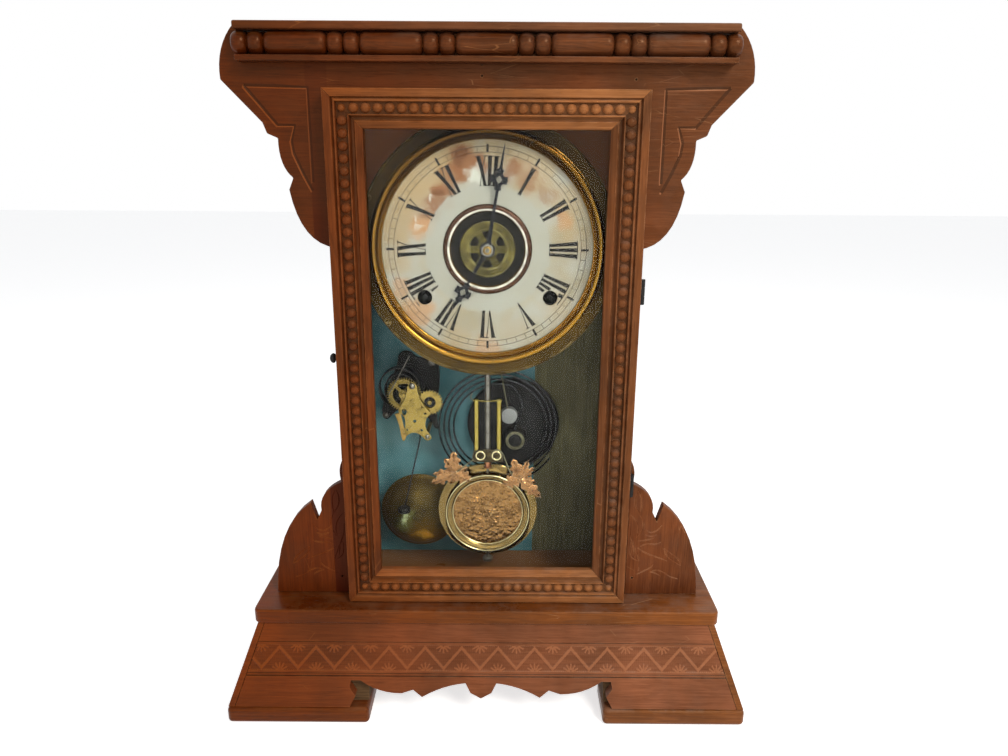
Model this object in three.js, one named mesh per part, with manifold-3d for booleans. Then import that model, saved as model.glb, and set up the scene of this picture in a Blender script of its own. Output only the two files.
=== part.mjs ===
// Shelf clock: a glazed beaded door on a shallow case, scroll brackets under a turned cornice,
// a flared base on two feet, and an eight-day striking movement with a wire gong and an alarm.
// Millimetres, +Z up, front towards -Y. The origin is on the table, under the middle of the clock.
import * as THREE from 'three';
import { mergeVertices } from 'three/addons/utils/BufferGeometryUtils.js';
import Module from 'manifold-3d';

const wasm = await Module();
wasm.setup();

// ---------------------------------------------------------------- driving dimensions
const gap = 0.3; // between two pieces that are glued, screwed or seated on each other

// heights, from the table up
const footThickness = 14;
const apronHeight = 66;
const shelfThickness = 11.6;
const doorSill = 1.1; // air under the closed door
const doorHeight = 378;
const friezeHeight = 16.2; // bare board between the door and the cornice
const filletThickness = 3.8;
const beadDiameter = 15.3;
const topBoardThickness = 5;

// depths
const baseDepth = 119;
const shelfDepth = 104;
const caseDepth = 78;
const corniceOverhang = 12; // of the top board, in front of the front board
const boardThickness = 7.5; // front board and wings
const backboardThickness = 5;
const backboardInset = 2.5;
const labelThickness = 0.4;

// widths
const caseWall = 9;
const corniceReach = 53; // of the top board beyond the case, each side
const shelfReach = 70; // of the shelf beyond the case, each side
const shelfCorner = 6;
const apronTopInset = 2.5; // of the apron under the shelf, each side
const apronSideFlare = 24; // how far each side leans out over the apron's height
const apronFrontWall = 8;
const apronSideWall = 5;
const apronSetback = 3; // of the apron's top edge behind the shelf's front edge
const footProud = 1; // of the foot beyond the apron's lower edge, at the sides
const footFrontProud = 1.5;
const footLength = 111;
const footFrontDepth = 39.5;
const footSideWidth = 40;

// door
const doorWidth = 215;
const doorThickness = 14.7;
const railWidth = 25;
const doorLap = 10.5; // of the door over the front board's doorway
const glassThickness = 2;
const rabbetWidth = 3.5;
const rabbetDepth = 3.8;
const mitreGap = 0.15;

// hinges and knob
const hingeHeights = { upper: 245, lower: 95.8 }; // of each hinge's middle above the shelf
const hingeLength = 18;
const leafThickness = 0.8;
const leafPocket = 1.2;
const leafReach = 8.5;
const knuckleRadius = 2.2;
const pinRadius = 0.8;
const hingeOffset = 2.5; // of the pin's axis in front of the front board's face, and beside the door
const knobRadius = 3.7;
const knobLength = 5.4;
const knobHeight = 196.4; // above the shelf

// dial and hands
const dialHeight = 272.4; // of the dial's centre above the shelf
const panRadius = 94;
const panThickness = 0.8;
const panFaceY = -4.4;
const wellRadius = 28; // of the sunk middle that holds the alarm disc
const wellDepth = 2;
const ringHeight = 1.8; // of the raised ring round the well
const ringWidth = 4;
const paperRadius = 79;
const paperThickness = 0.4;
const bezelInner = 76;
const bezelOuter = 85;
const bezelHeight = 7.6;
const windingX = 46;
const windingDrop = 35;
const windingHoleRadius = 5.4;
const alarmDiscRadius = 20.2;
const sheetThickness = 0.8; // of the hands and the alarm disc
const hourHandLength = 50;
const minuteHandLength = 74;
const minuteAngle = 9.4; // clockwise from twelve, in degrees
const hourAngle = 210.3;
const minuteArborRadius = 1.5;
const hourPipeRadius = 3.5;

// movement
const plateHalfWidth = 64;
const plateBelowDial = 58;
const plateAboveDial = 60;
const plateThickness = 1.5;
const frontPlateY = 10;
const plateSpacing = 30; // from the face of the front plate to the face of the back plate
const pillarInset = 6;
const pillarRadius = 3;
const greatWheelRadius = 16.5;
const springOuterRadius = 15;
const windingArborRadius = 2.2;
const cannonTeeth = 12;
const motionWheelTeeth = 36;
const motionPinionTeeth = 10;
const hourWheelTeeth = 40;
const motionDistance = 15;
const escapeDrop = 46; // of the escape wheel's centre below the dial's centre
const escapeRadius = 13;
const escapeTeeth = 30;
const vergeDrop = 27.5;
const suspensionDrop = 19.3;
const crutchLength = 33.5;
const palletClearance = 1.5; // between the wheel's teeth and the verge at rest

// pendulum
const pendulumLength = 191.3; // from the suspension to the bob's centre
const rodY = 3.5;
const rodRadius = 0.9;
const sleeveRadius = 2.3;
const tubeRadius = 2.2;
const tubeX = 8.8;
const tubeTop = 95.5; // above the bob's centre
const tubeBottom = 49.5;
const bobRadius = 40.3;
const bobRingRadius = 33.3;
const bobDiscRadius = 28;
const bobBore = 1.2;
const nutRadius = 4;
const nutHeight = 3.2;

// gong
const gongX = 8.5;
const gongHeight = 123.4; // of the coil's centre above the shelf
const gongY = 35;
const gongWireRadius = 0.8;
const gongOuterRadius = 51;
const gongInnerRadius = 36.2;
const gongTurns = 3.7;
const gongPostX = 13.4; // from the coil's centre
const gongPostDrop = 11.5;
const gongPostRadius = 8;
const gongBaseRadius = 38.5;
const gongBaseX = 12;
const gongBaseRise = -1.5;
const gongBaseThickness = 6.9;
const gongHeadRadius = 6.7;
const gongHeadAside = 8.4; // of the hammer's head from the coil's centre
const gongHeadRise = 10;

// alarm
const alarmX = -67.5; // of the great wheel's arbor
const alarmHeight = 153.4;
const alarmPlateY = 18;
const alarmWheelTeeth = 42;
const alarmPinionTeeth = 24;
const alarmModule = 0.65;
const alarmSecondTeeth = 26;
const alarmSecondRadius = 10.6;
const alarmSecondAngle = -14.7; // of the second wheel seen from the first, in degrees
const alarmSpringTurns = 4;
const alarmSpringInner = 4.5;
const alarmSpringOuter = 19;
const alarmSpringStrip = 0.8;
const alarmSpringWidth = 9;
const bellX = -58;
const bellHeight = 48.6;
const bellRadius = 32.6;
const bellDepth = 13;
const bellWall = 1.5;
const bellFaceY = 20;
const bellPostRadius = 2.2;

// ---------------------------------------------------------------- derived planes
const backY = baseDepth / 2;
const boardY = backY - caseDepth; // front face of the front board, the wings and the case sides
const shelfFrontY = backY - shelfDepth;
const footFrontY = backY - baseDepth;
const corniceFrontY = boardY - corniceOverhang;
const backboardY = backY - backboardInset - backboardThickness;
const labelY = backboardY - gap - labelThickness;
const doorBackY = boardY - gap;
const apronTopY = shelfFrontY + apronSetback;
const apronFrontFlare = apronTopY - (footFrontY + footFrontProud); // how far the front apron leans out
const caseWidth = doorWidth + 2 * hingeOffset;
const corniceWidth = caseWidth + 2 * corniceReach;
const shelfWidth = caseWidth + 2 * shelfReach;
const apronTopWidth = shelfWidth - 2 * apronTopInset;
const apronTopZ = footThickness + apronHeight;
const shelfZ = apronTopZ + shelfThickness; // top face of the shelf
const doorZ = shelfZ + doorSill;
const doorTopZ = doorZ + doorHeight;
const corniceZ = doorTopZ + friezeHeight;
const beadZ = corniceZ + filletThickness;
const topBoardZ = beadZ + beadDiameter;
const caseHalf = caseWidth / 2;
const caseInner = caseHalf - caseWall;
const doorwayHalf = doorWidth / 2 - doorLap;
const dialZ = shelfZ + dialHeight;
const backPlateY = frontPlateY + plateSpacing;

// ---------------------------------------------------------------- materials
function finish(color, roughness, metalness) {
  return new THREE.MeshStandardMaterial({ color, roughness, metalness });
}
const casewood = finish(0x7a4326, 0.55, 0);
const doorwood = finish(0x8a5330, 0.5, 0);
const basewood = finish(0x84431f, 0.5, 0);
const roughwood = finish(0x3a2a1c, 0.9, 0);
const paper = finish(0x4d7f88, 0.95, 0);
const dialpaper = finish(0xc9c7b6, 0.85, 0);
const glass = new THREE.MeshStandardMaterial({ color: 0xdfe8e6, roughness: 0.05, opacity: 0.25, transparent: true });
const brass = finish(0xa98a3c, 0.35, 1);
const steel = finish(0x8d8d8a, 0.4, 1);
const bluedsteel = finish(0x1d1c1e, 0.45, 0.8);
const blackiron = finish(0x161616, 0.6, 0.3);
const zinc = finish(0x6d6f6a, 0.55, 0.8);
const copper = finish(0x9c6b4b, 0.45, 0.9);

// ---------------------------------------------------------------- solid helpers
const clock = new THREE.Group();

// Merges the corners, drops collapsed triangles and turns every face outwards.
function closed(geometry) {
  const bare = geometry.clone();
  bare.deleteAttribute('normal');
  bare.deleteAttribute('uv');
  const merged = mergeVertices(bare, 1e-4);
  const position = merged.getAttribute('position');
  const source = merged.index.array;
  const corners = [new THREE.Vector3(), new THREE.Vector3(), new THREE.Vector3()];
  const kept = [];
  let volume = 0;
  for (let i = 0; i < source.length; i += 3) {
    const triangle = [source[i], source[i + 1], source[i + 2]];
    if (new Set(triangle).size < 3) continue;
    kept.push(triangle);
    triangle.forEach((vertex, corner) => corners[corner].fromBufferAttribute(position, vertex));
    volume += corners[0].dot(corners[1].clone().cross(corners[2]));
  }
  if (volume < 0) kept.forEach((triangle) => triangle.reverse());
  merged.setIndex(kept.flat());
  return merged;
}

function toSolid(geometry) {
  const ready = closed(geometry);
  return new wasm.Manifold(new wasm.Mesh({
    numProp: 3,
    vertProperties: new Float32Array(ready.getAttribute('position').array),
    triVerts: new Uint32Array(ready.index.array),
  }));
}

function toGeometry(solid) {
  const mesh = solid.getMesh();
  const count = mesh.vertProperties.length / mesh.numProp;
  const position = new Float32Array(count * 3);
  for (let i = 0; i < count; i += 1) {
    for (let axis = 0; axis < 3; axis += 1) position[i * 3 + axis] = mesh.vertProperties[i * mesh.numProp + axis];
  }
  const geometry = new THREE.BufferGeometry();
  geometry.setAttribute('position', new THREE.BufferAttribute(position, 3));
  geometry.setIndex(Array.from(mesh.triVerts));
  return geometry;
}

function join(...geometries) {
  return toGeometry(geometries.map(toSolid).reduce((whole, next) => whole.add(next)));
}

function cut(geometry, ...tools) {
  return toGeometry(tools.map(toSolid).reduce((whole, tool) => whole.subtract(tool), toSolid(geometry)));
}

function piece(name, geometry, material, parent = clock, place = [0, 0, 0]) {
  const mesh = new THREE.Mesh(closed(geometry), material);
  mesh.name = name;
  mesh.position.set(...place);
  parent.add(mesh);
  return mesh;
}

function groupAt(x, y, z) {
  const group = new THREE.Group();
  group.position.set(x, y, z);
  clock.add(group);
  return group;
}

function block([x0, x1], [y0, y1], [z0, z1]) {
  const box = new THREE.BoxGeometry(x1 - x0, y1 - y0, z1 - z0);
  return box.translate((x0 + x1) / 2, (y0 + y1) / 2, (z0 + z1) / 2);
}

// A board seen from the front: its outline is drawn in X and Z, and it fills y0 to y1.
function panel(shape, y0, y1, curveSegments = 8) {
  const board = new THREE.ExtrudeGeometry(shape, { depth: y1 - y0, bevelEnabled: false, curveSegments });
  return board.rotateX(Math.PI / 2).translate(0, y1, 0);
}

function roundPath(x, z, radius, sides) {
  const points = [];
  for (let i = 0; i < sides; i += 1) {
    const turn = (i / sides) * 2 * Math.PI;
    points.push(new THREE.Vector2(x + radius * Math.cos(turn), z + radius * Math.sin(turn)));
  }
  return points;
}

function disc(x, z, radius, sides = 24) {
  return new THREE.Shape(roundPath(x, z, radius, sides));
}

function withHole(shape, x, z, radius, sides = 12) {
  shape.holes.push(new THREE.Path(roundPath(x, z, radius, sides)));
  return shape;
}

// A round bar between two points.
function bar(from, to, radius, sides = 8) {
  const start = new THREE.Vector3(...from);
  const line = new THREE.Vector3(...to).sub(start);
  const geometry = new THREE.CylinderGeometry(radius, radius, line.length(), sides);
  geometry.translate(0, line.length() / 2, 0);
  geometry.applyQuaternion(new THREE.Quaternion().setFromUnitVectors(new THREE.Vector3(0, 1, 0), line.normalize()));
  return geometry.translate(...from);
}

// Revolved round Y; the outline is pairs of radius and y.
function turned(outline, sides) {
  return new THREE.LatheGeometry(outline.map(([radius, y]) => new THREE.Vector2(radius, y)), sides);
}

function mirrored(geometry) {
  return geometry.clone().scale(-1, 1, 1);
}

function polar(radius, degrees) {
  const turn = THREE.MathUtils.degToRad(degrees);
  return [radius * Math.cos(turn), radius * Math.sin(turn)];
}

// A toothed outline. A tooth stands at the given angle; teeth are thinned and shortened so that wheels run free.
function gearShape(teeth, pitchRadius, phase = 0, tall = 0.8) {
  const size = (2 * pitchRadius) / teeth;
  const tip = pitchRadius + tall * size;
  const root = pitchRadius - 1.15 * size;
  const pitch = 360 / teeth;
  const points = [];
  for (let tooth = 0; tooth < teeth; tooth += 1) {
    const middle = phase + tooth * pitch;
    for (const [radius, share] of [[root, -0.27], [tip, -0.1], [tip, 0.1], [root, 0.27]]) {
      points.push(new THREE.Vector2(...polar(radius, middle + share * pitch)));
    }
  }
  return new THREE.Shape(points);
}

// Slanted pointed teeth, for a wheel that meets no pinion here.
function ratchetShape(teeth, tip, root) {
  const points = [];
  for (let tooth = 0; tooth < teeth; tooth += 1) {
    const start = (tooth * 360) / teeth;
    points.push(new THREE.Vector2(...polar(root, start)));
    points.push(new THREE.Vector2(...polar(tip, start + 180 / teeth)));
  }
  return new THREE.Shape(points);
}

// ---------------------------------------------------------------- case
function addCase() {
  const bracketDrop = 140.1; // from the top board down to the foot of the brackets
  const boardFootZ = topBoardZ - bracketDrop;
  const sideOutline = new THREE.Shape([
    [boardY, shelfZ + gap],
    [backY, shelfZ + gap],
    [backY, topBoardZ - gap],
    [boardY + boardThickness + gap, topBoardZ - gap],
    [boardY + boardThickness + gap, boardFootZ - gap],
    [boardY, boardFootZ - gap],
  ].map(([y, z]) => new THREE.Vector2(y, z)));
  const side = new THREE.ExtrudeGeometry(sideOutline, { depth: caseWall, bevelEnabled: false });
  side.applyMatrix4(new THREE.Matrix4().makeBasis(
    new THREE.Vector3(0, 1, 0),
    new THREE.Vector3(0, 0, 1),
    new THREE.Vector3(1, 0, 0),
  ));
  side.translate(caseInner, 0, 0);
  const pockets = Object.values(hingeHeights).map((height) => block(
    [caseHalf - leafReach - gap, caseHalf + 1],
    [boardY - 1, boardY + leafPocket],
    [shelfZ + height - hingeLength / 2 - gap, shelfZ + height + hingeLength / 2 + gap],
  ));
  piece('case_left_side', mirrored(side), casewood);
  piece('case_right_side', cut(side, ...pockets), casewood);

  const insideTop = topBoardZ - gap;
  piece('backboard', block(
    [-caseInner + gap, caseInner - gap],
    [backboardY, backboardY + backboardThickness],
    [shelfZ + gap, insideTop],
  ), roughwood);
  const labelRight = 39;
  const labelHeight = 360;
  piece('label_paper', block(
    [-caseInner + gap, labelRight],
    [labelY, labelY + labelThickness],
    [shelfZ + gap, shelfZ + labelHeight],
  ), paper);

  // front board: frieze and both scroll brackets, with the doorway open below
  const earSide = corniceWidth / 2 + 0.5;
  const doorwayTop = doorTopZ - doorLap;
  const board = new THREE.Shape();
  const half = (mirror) => {
    const x = (offset) => mirror * (caseHalf + offset);
    const z = (offset) => topBoardZ + offset;
    return { x, z };
  };
  const right = half(1);
  const left = half(-1);
  board.moveTo(doorwayHalf, boardFootZ);
  board.lineTo(right.x(-3.8), boardFootZ);
  board.quadraticCurveTo(right.x(20.5), right.z(-137.5), right.x(26.5), right.z(-100.4));
  board.lineTo(right.x(23.2), right.z(-92.5));
  board.quadraticCurveTo(right.x(32.5), right.z(-85), right.x(31.8), right.z(-66.5));
  board.lineTo(right.x(38.9), right.z(-63.5));
  board.lineTo(right.x(41.5), right.z(-56.5));
  board.lineTo(right.x(67.3), right.z(-29.5));
  board.quadraticCurveTo(right.x(68.8), right.z(-9), earSide + 2, right.z(topBoardThickness));
  board.lineTo(earSide, right.z(topBoardThickness));
  board.lineTo(earSide, right.z(-gap));
  board.lineTo(-earSide, left.z(-gap));
  board.lineTo(-earSide, left.z(topBoardThickness));
  board.lineTo(-earSide - 2, left.z(topBoardThickness));
  board.quadraticCurveTo(left.x(68.8), left.z(-9), left.x(67.3), left.z(-29.5));
  board.lineTo(left.x(41.5), left.z(-56.5));
  board.lineTo(left.x(38.9), left.z(-63.5));
  board.lineTo(left.x(31.8), left.z(-66.5));
  board.quadraticCurveTo(left.x(32.5), left.z(-85), left.x(23.2), left.z(-92.5));
  board.lineTo(left.x(26.5), left.z(-100.4));
  board.quadraticCurveTo(left.x(20.5), left.z(-137.5), left.x(-3.8), boardFootZ);
  board.lineTo(-doorwayHalf, boardFootZ);
  board.lineTo(-doorwayHalf, doorwayTop);
  board.lineTo(doorwayHalf, doorwayTop);
  piece('front_board', panel(board, boardY, boardY + boardThickness), casewood);
}

function addCornice() {
  const half = corniceWidth / 2;
  piece('cornice_board', block(
    [-half, half],
    [corniceFrontY, backY],
    [topBoardZ, topBoardZ + topBoardThickness],
  ), casewood);
  piece('cornice_fillet', block(
    [-half, half],
    [corniceFrontY, boardY - gap],
    [corniceZ, corniceZ + filletThickness],
  ), casewood);

  // one turned spindle of six bead pairs and five bars, flattened where it lies on the board
  const beadLength = 10.6;
  const barCount = 5;
  const barLength = (corniceWidth - 2 * (barCount + 1) * beadLength) / barCount;
  const full = beadDiameter / 2 - gap / 2;
  const neck = full - 2.4;
  const flatBack = 3.35; // from the spindle's axis to its flat back
  const outline = [[0, -half], [neck, -half]];
  let along = -half;
  const swell = (length, shoulder) => {
    outline.push([full - 0.8, along + shoulder * 0.4]);
    outline.push([full, along + shoulder]);
    if (length > 3 * shoulder) outline.push([full, along + length - shoulder]);
    outline.push([full - 0.8, along + length - shoulder * 0.4]);
    outline.push([neck, along + length]);
    along += length;
  };
  for (let group = 0; group <= barCount; group += 1) {
    swell(beadLength, beadLength / 2);
    swell(beadLength, beadLength / 2);
    if (group < barCount) swell(barLength, beadLength / 3);
  }
  outline.push([0, half]);
  const spindle = turned(outline, 12).rotateZ(-Math.PI / 2);
  const behind = block([-half - 1, half + 1], [flatBack, beadDiameter], [-beadDiameter, beadDiameter]);
  piece('bead_moulding', cut(spindle, behind), casewood, clock, [
    0,
    boardY - gap - flatBack,
    beadZ + beadDiameter / 2,
  ]);
}

function addWings() {
  const wing = new THREE.Shape();
  const x = (offset) => caseHalf + offset;
  const z = (offset) => shelfZ + offset;
  wing.moveTo(x(gap), z(gap));
  wing.lineTo(x(58), z(gap));
  wing.quadraticCurveTo(x(56), z(58.4), x(26.8), z(78.6));
  wing.lineTo(x(22.5), z(63.9));
  wing.lineTo(x(18.8), z(71.9));
  wing.quadraticCurveTo(x(21), z(87.4), x(2), z(96));
  wing.quadraticCurveTo(x(4.8), z(106.4), x(gap), z(114.4));
  const board = panel(wing, boardY, boardY + boardThickness);
  piece('wing_right', board, casewood);
  piece('wing_left', mirrored(board), casewood);
}

// ---------------------------------------------------------------- base
function apronFaceY(z) {
  return apronTopY - (apronFrontFlare * (apronTopZ - z)) / apronHeight;
}

function apronSideX(z) {
  return apronTopWidth / 2 + (apronSideFlare * (apronTopZ - z)) / apronHeight;
}

function leaned(geometry, move) {
  const position = geometry.getAttribute('position');
  for (let i = 0; i < position.count; i += 1) {
    const [dx, dy] = move(position.getZ(i));
    position.setX(i, position.getX(i) + dx);
    position.setY(i, position.getY(i) + dy);
  }
  return geometry;
}

function addBase() {
  const half = shelfWidth / 2;
  const shelf = new THREE.Shape();
  shelf.moveTo(-half, backY);
  shelf.lineTo(-half, shelfFrontY + shelfCorner);
  shelf.quadraticCurveTo(-half, shelfFrontY, -half + shelfCorner, shelfFrontY);
  shelf.lineTo(half - shelfCorner, shelfFrontY);
  shelf.quadraticCurveTo(half, shelfFrontY, half, shelfFrontY + shelfCorner);
  shelf.lineTo(half, backY);
  const board = new THREE.ExtrudeGeometry(shelf, { depth: shelfThickness, bevelEnabled: false, curveSegments: 4 });
  piece('base_shelf', board, basewood, clock, [0, 0, apronTopZ]);

  const low = footThickness + gap;
  const high = apronTopZ - gap;
  addFrontApron(low, high);

  const sideOutline = new THREE.Shape([
    [apronFaceY(low), low],
    [backY, low],
    [backY, high],
    [apronFaceY(high), high],
  ].map(([y, z]) => new THREE.Vector2(y, z)));
  const side = new THREE.ExtrudeGeometry(sideOutline, { depth: apronSideWall, bevelEnabled: false });
  side.applyMatrix4(new THREE.Matrix4().makeBasis(
    new THREE.Vector3(0, 1, 0),
    new THREE.Vector3(0, 0, 1),
    new THREE.Vector3(1, 0, 0),
  ));
  leaned(side, (z) => [apronSideX(z) - apronSideWall, 0]);
  piece('apron_right', side, basewood);
  piece('apron_left', mirrored(side), basewood);

  const footOuter = apronSideX(footThickness) + footProud;
  const footInner = footOuter - footLength;
  const foot = new THREE.ExtrudeGeometry(new THREE.Shape([
    [footInner, footFrontY],
    [footOuter, footFrontY],
    [footOuter, backY],
    [footOuter - footSideWidth, backY],
    [footOuter - footSideWidth, footFrontY + footFrontDepth],
    [footInner, footFrontY + footFrontDepth],
  ].map(([x, y]) => new THREE.Vector2(x, y))), { depth: footThickness, bevelEnabled: false });
  piece('foot_right', foot, basewood);
  piece('foot_left', mirrored(foot), basewood);

  // blocks glued into the corner between foot and front apron
  const blockHeight = 22;
  const blockDepth = 12.6; // at its top
  const blockLength = 27;
  const behindApron = (z) => apronFaceY(z) + apronFrontWall + gap;
  const blockBackY = behindApron(low + blockHeight) + blockDepth;
  const blockOutline = new THREE.Shape([
    [behindApron(low), low],
    [blockBackY, low],
    [blockBackY, low + blockHeight],
    [behindApron(low + blockHeight), low + blockHeight],
  ].map(([y, z]) => new THREE.Vector2(y, z)));
  const glueBlock = new THREE.ExtrudeGeometry(blockOutline, { depth: blockLength, bevelEnabled: false });
  glueBlock.applyMatrix4(new THREE.Matrix4().makeBasis(
    new THREE.Vector3(0, 1, 0),
    new THREE.Vector3(0, 0, 1),
    new THREE.Vector3(1, 0, 0),
  ));
  glueBlock.translate(footInner + 1, 0, 0);
  piece('glue_block_right', glueBlock, roughwood);
  piece('glue_block_left', mirrored(glueBlock), roughwood);
}

// The front apron's lower edge is a row of scallops between the feet, set a little to the left.
function addFrontApron(low, high) {
  const scallopCentre = -4;
  const end = (z) => apronSideX(z) - apronSideWall - gap;
  const x = (side, offset) => scallopCentre + side * offset;
  const z = (offset) => footThickness + offset;
  const apron = new THREE.Shape();
  apron.moveTo(-end(high), high);
  apron.lineTo(-end(low), low);
  apron.lineTo(x(-1, 102.6), low);
  apron.lineTo(x(-1, 98), z(9));
  apron.lineTo(x(-1, 102.6), z(15.5));
  apron.lineTo(x(-1, 101.5), z(21));
  apron.lineTo(x(-1, 94), z(21));
  apron.quadraticCurveTo(x(-1, 80), z(11), x(-1, 62), z(11.2));
  apron.lineTo(x(-1, 53), z(14));
  apron.lineTo(x(-1, 46), z(8.4));
  apron.quadraticCurveTo(x(-1, 30), z(17.5), x(-1, 12.1), z(19.3));
  apron.lineTo(x(-1, 8.2), z(11.8));
  apron.lineTo(x(1, 0), z(7.6));
  apron.lineTo(x(1, 8.2), z(11.8));
  apron.lineTo(x(1, 12.1), z(19.3));
  apron.quadraticCurveTo(x(1, 30), z(17.5), x(1, 46), z(8.4));
  apron.lineTo(x(1, 53), z(14));
  apron.lineTo(x(1, 62), z(11.2));
  apron.quadraticCurveTo(x(1, 80), z(11), x(1, 94), z(21));
  apron.lineTo(x(1, 101.5), z(21));
  apron.lineTo(x(1, 102.6), z(15.5));
  apron.lineTo(x(1, 98), z(9));
  apron.lineTo(x(1, 102.6), low);
  apron.lineTo(end(low), low);
  apron.lineTo(end(high), high);
  const board = leaned(panel(apron, 0, apronFrontWall, 6), (height) => [0, apronFaceY(height)]);
  piece('apron_front', board, basewood);
}

// ---------------------------------------------------------------- door
// Section of the door frame: inward from the outer edge, and forward from the back.
function railSection() {
  const face = doorThickness;
  const beadMiddle = 12.2;
  const beadRadius = 3.5;
  const bed = face - 3;
  const section = new THREE.Shape();
  section.moveTo(0, 0);
  section.lineTo(0, face - 0.7);
  section.lineTo(0.7, face);
  section.lineTo(5.2, face);
  section.lineTo(6, face - 1.5);
  section.lineTo(7, face - 0.4);
  section.lineTo(8.2, face - 0.4);
  section.lineTo(beadMiddle - beadRadius, bed);
  section.lineTo(beadMiddle - beadRadius * 0.7, face - 0.9);
  section.lineTo(beadMiddle, face);
  section.lineTo(beadMiddle + beadRadius * 0.7, face - 0.9);
  section.lineTo(beadMiddle + beadRadius, bed);
  section.lineTo(16.2, face - 1);
  section.lineTo(17.1, face - 1);
  section.lineTo(17.8, face - 5);
  section.lineTo(19.6, face - 5.4);
  section.lineTo(20.2, face - 4.2);
  section.lineTo(railWidth, face - 7);
  section.lineTo(railWidth, rabbetDepth);
  section.lineTo(railWidth - rabbetWidth, rabbetDepth);
  section.lineTo(railWidth - rabbetWidth, 0);
  return section;
}

// A length of the section with both ends cut to a mitre.
function mitredRail(length) {
  const rail = new THREE.ExtrudeGeometry(railSection(), { depth: length, bevelEnabled: false });
  const position = rail.getAttribute('position');
  for (let i = 0; i < position.count; i += 1) {
    const inward = position.getX(i) + mitreGap;
    position.setZ(i, position.getZ(i) > length / 2 ? length - inward : inward);
  }
  return rail;
}

function addDoor() {
  const door = groupAt(0, doorBackY, doorZ);
  const half = doorWidth / 2;
  const place = (name, geometry, inward, start) => {
    const outward = new THREE.Vector3(0, -1, 0);
    const along = inward.clone().cross(outward);
    const rail = piece(name, geometry, doorwood, door, start);
    rail.quaternion.setFromRotationMatrix(new THREE.Matrix4().makeBasis(inward, outward, along));
  };
  place('door_bottom_rail', mitredRail(doorWidth), new THREE.Vector3(0, 0, 1), [-half, 0, 0]);
  place('door_top_rail', mitredRail(doorWidth), new THREE.Vector3(0, 0, -1), [half, 0, doorHeight]);
  place('door_left_stile', mitredRail(doorHeight), new THREE.Vector3(1, 0, 0), [-half, 0, doorHeight]);
  const leafSlots = Object.values(hingeHeights).map((height) => block(
    [-1, leafReach + gap],
    [-1, leafPocket],
    [height - doorSill - hingeLength / 2 - gap, height - doorSill + hingeLength / 2 + gap],
  ));
  const hingeStile = cut(mitredRail(doorHeight), ...leafSlots);
  place('door_right_stile', hingeStile, new THREE.Vector3(-1, 0, 0), [half, 0, 0]);

  const sight = railWidth - rabbetWidth + gap;
  const glassY = -(rabbetDepth - gap);
  piece('glass_pane', block(
    [-half + sight, half - sight],
    [glassY, glassY + glassThickness],
    [sight, doorHeight - sight],
  ), glass, door);

  // a turned knob on the free edge, to pull the door open
  const knob = turned([
    [0, 0],
    [2.4, 0],
    [1.9, 1],
    [knobRadius - 0.5, 1.6],
    [knobRadius, 2.8],
    [knobRadius - 0.8, knobLength - 0.8],
    [1.6, knobLength],
    [0, knobLength],
  ], 16).rotateZ(Math.PI / 2);
  piece('door_knob', knob, blackiron, door, [-half - gap, -doorThickness / 2, knobHeight - doorSill]);
}

function addHinges() {
  const axisX = doorWidth / 2 + hingeOffset;
  const axisY = -hingeOffset;
  const knuckle = hingeLength / 2 - 5.8; // half of the door leaf's single knuckle is 2.9
  const middle = knuckle - gap;
  const end = hingeLength / 2;
  const inset = (leafPocket - leafThickness) / 2 - 0.1;
  const edge = caseHalf;
  for (const [name, height] of Object.entries(hingeHeights)) {
    const hinge = groupAt(0, boardY, shelfZ + height);
    const caseLeafY = [inset, inset + leafThickness];
    const caseLeaf = [
      block([edge - leafReach, axisX + 0.1], caseLeafY, [-end, end]),
      bar([axisX, axisY, -end], [axisX, axisY, end], pinRadius, 10),
    ];
    for (const side of [-1, 1]) {
      const span = side > 0 ? [knuckle, end] : [-end, -knuckle];
      caseLeaf.push(bar([axisX, axisY, span[0]], [axisX, axisY, span[1]], knuckleRadius, 12));
      caseLeaf.push(block([axisX - leafThickness, axisX + 0.1], [axisY + 1.4, caseLeafY[1]], span));
    }
    piece(`hinge_${name}_case_leaf`, join(...caseLeaf), blackiron, hinge);

    const doorLeafY = [-gap - inset - leafThickness, -gap - inset];
    const eye = withHole(disc(axisX, axisY, knuckleRadius, 12), axisX, axisY, pinRadius + gap, 10);
    const ring = new THREE.ExtrudeGeometry(eye, { depth: 2 * middle, bevelEnabled: false });
    const bore = bar([axisX, axisY, -end], [axisX, axisY, end], pinRadius + gap, 10);
    const doorLeaf = cut(join(
      block([doorWidth / 2 - leafReach, doorWidth / 2 - 0.1], doorLeafY, [-end, end]),
      block([doorWidth / 2 - 1, axisX], doorLeafY, [-middle, middle]),
      ring.translate(0, 0, -middle),
    ), bore);
    piece(`hinge_${name}_door_leaf`, doorLeaf, blackiron, hinge);
  }
}

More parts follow.
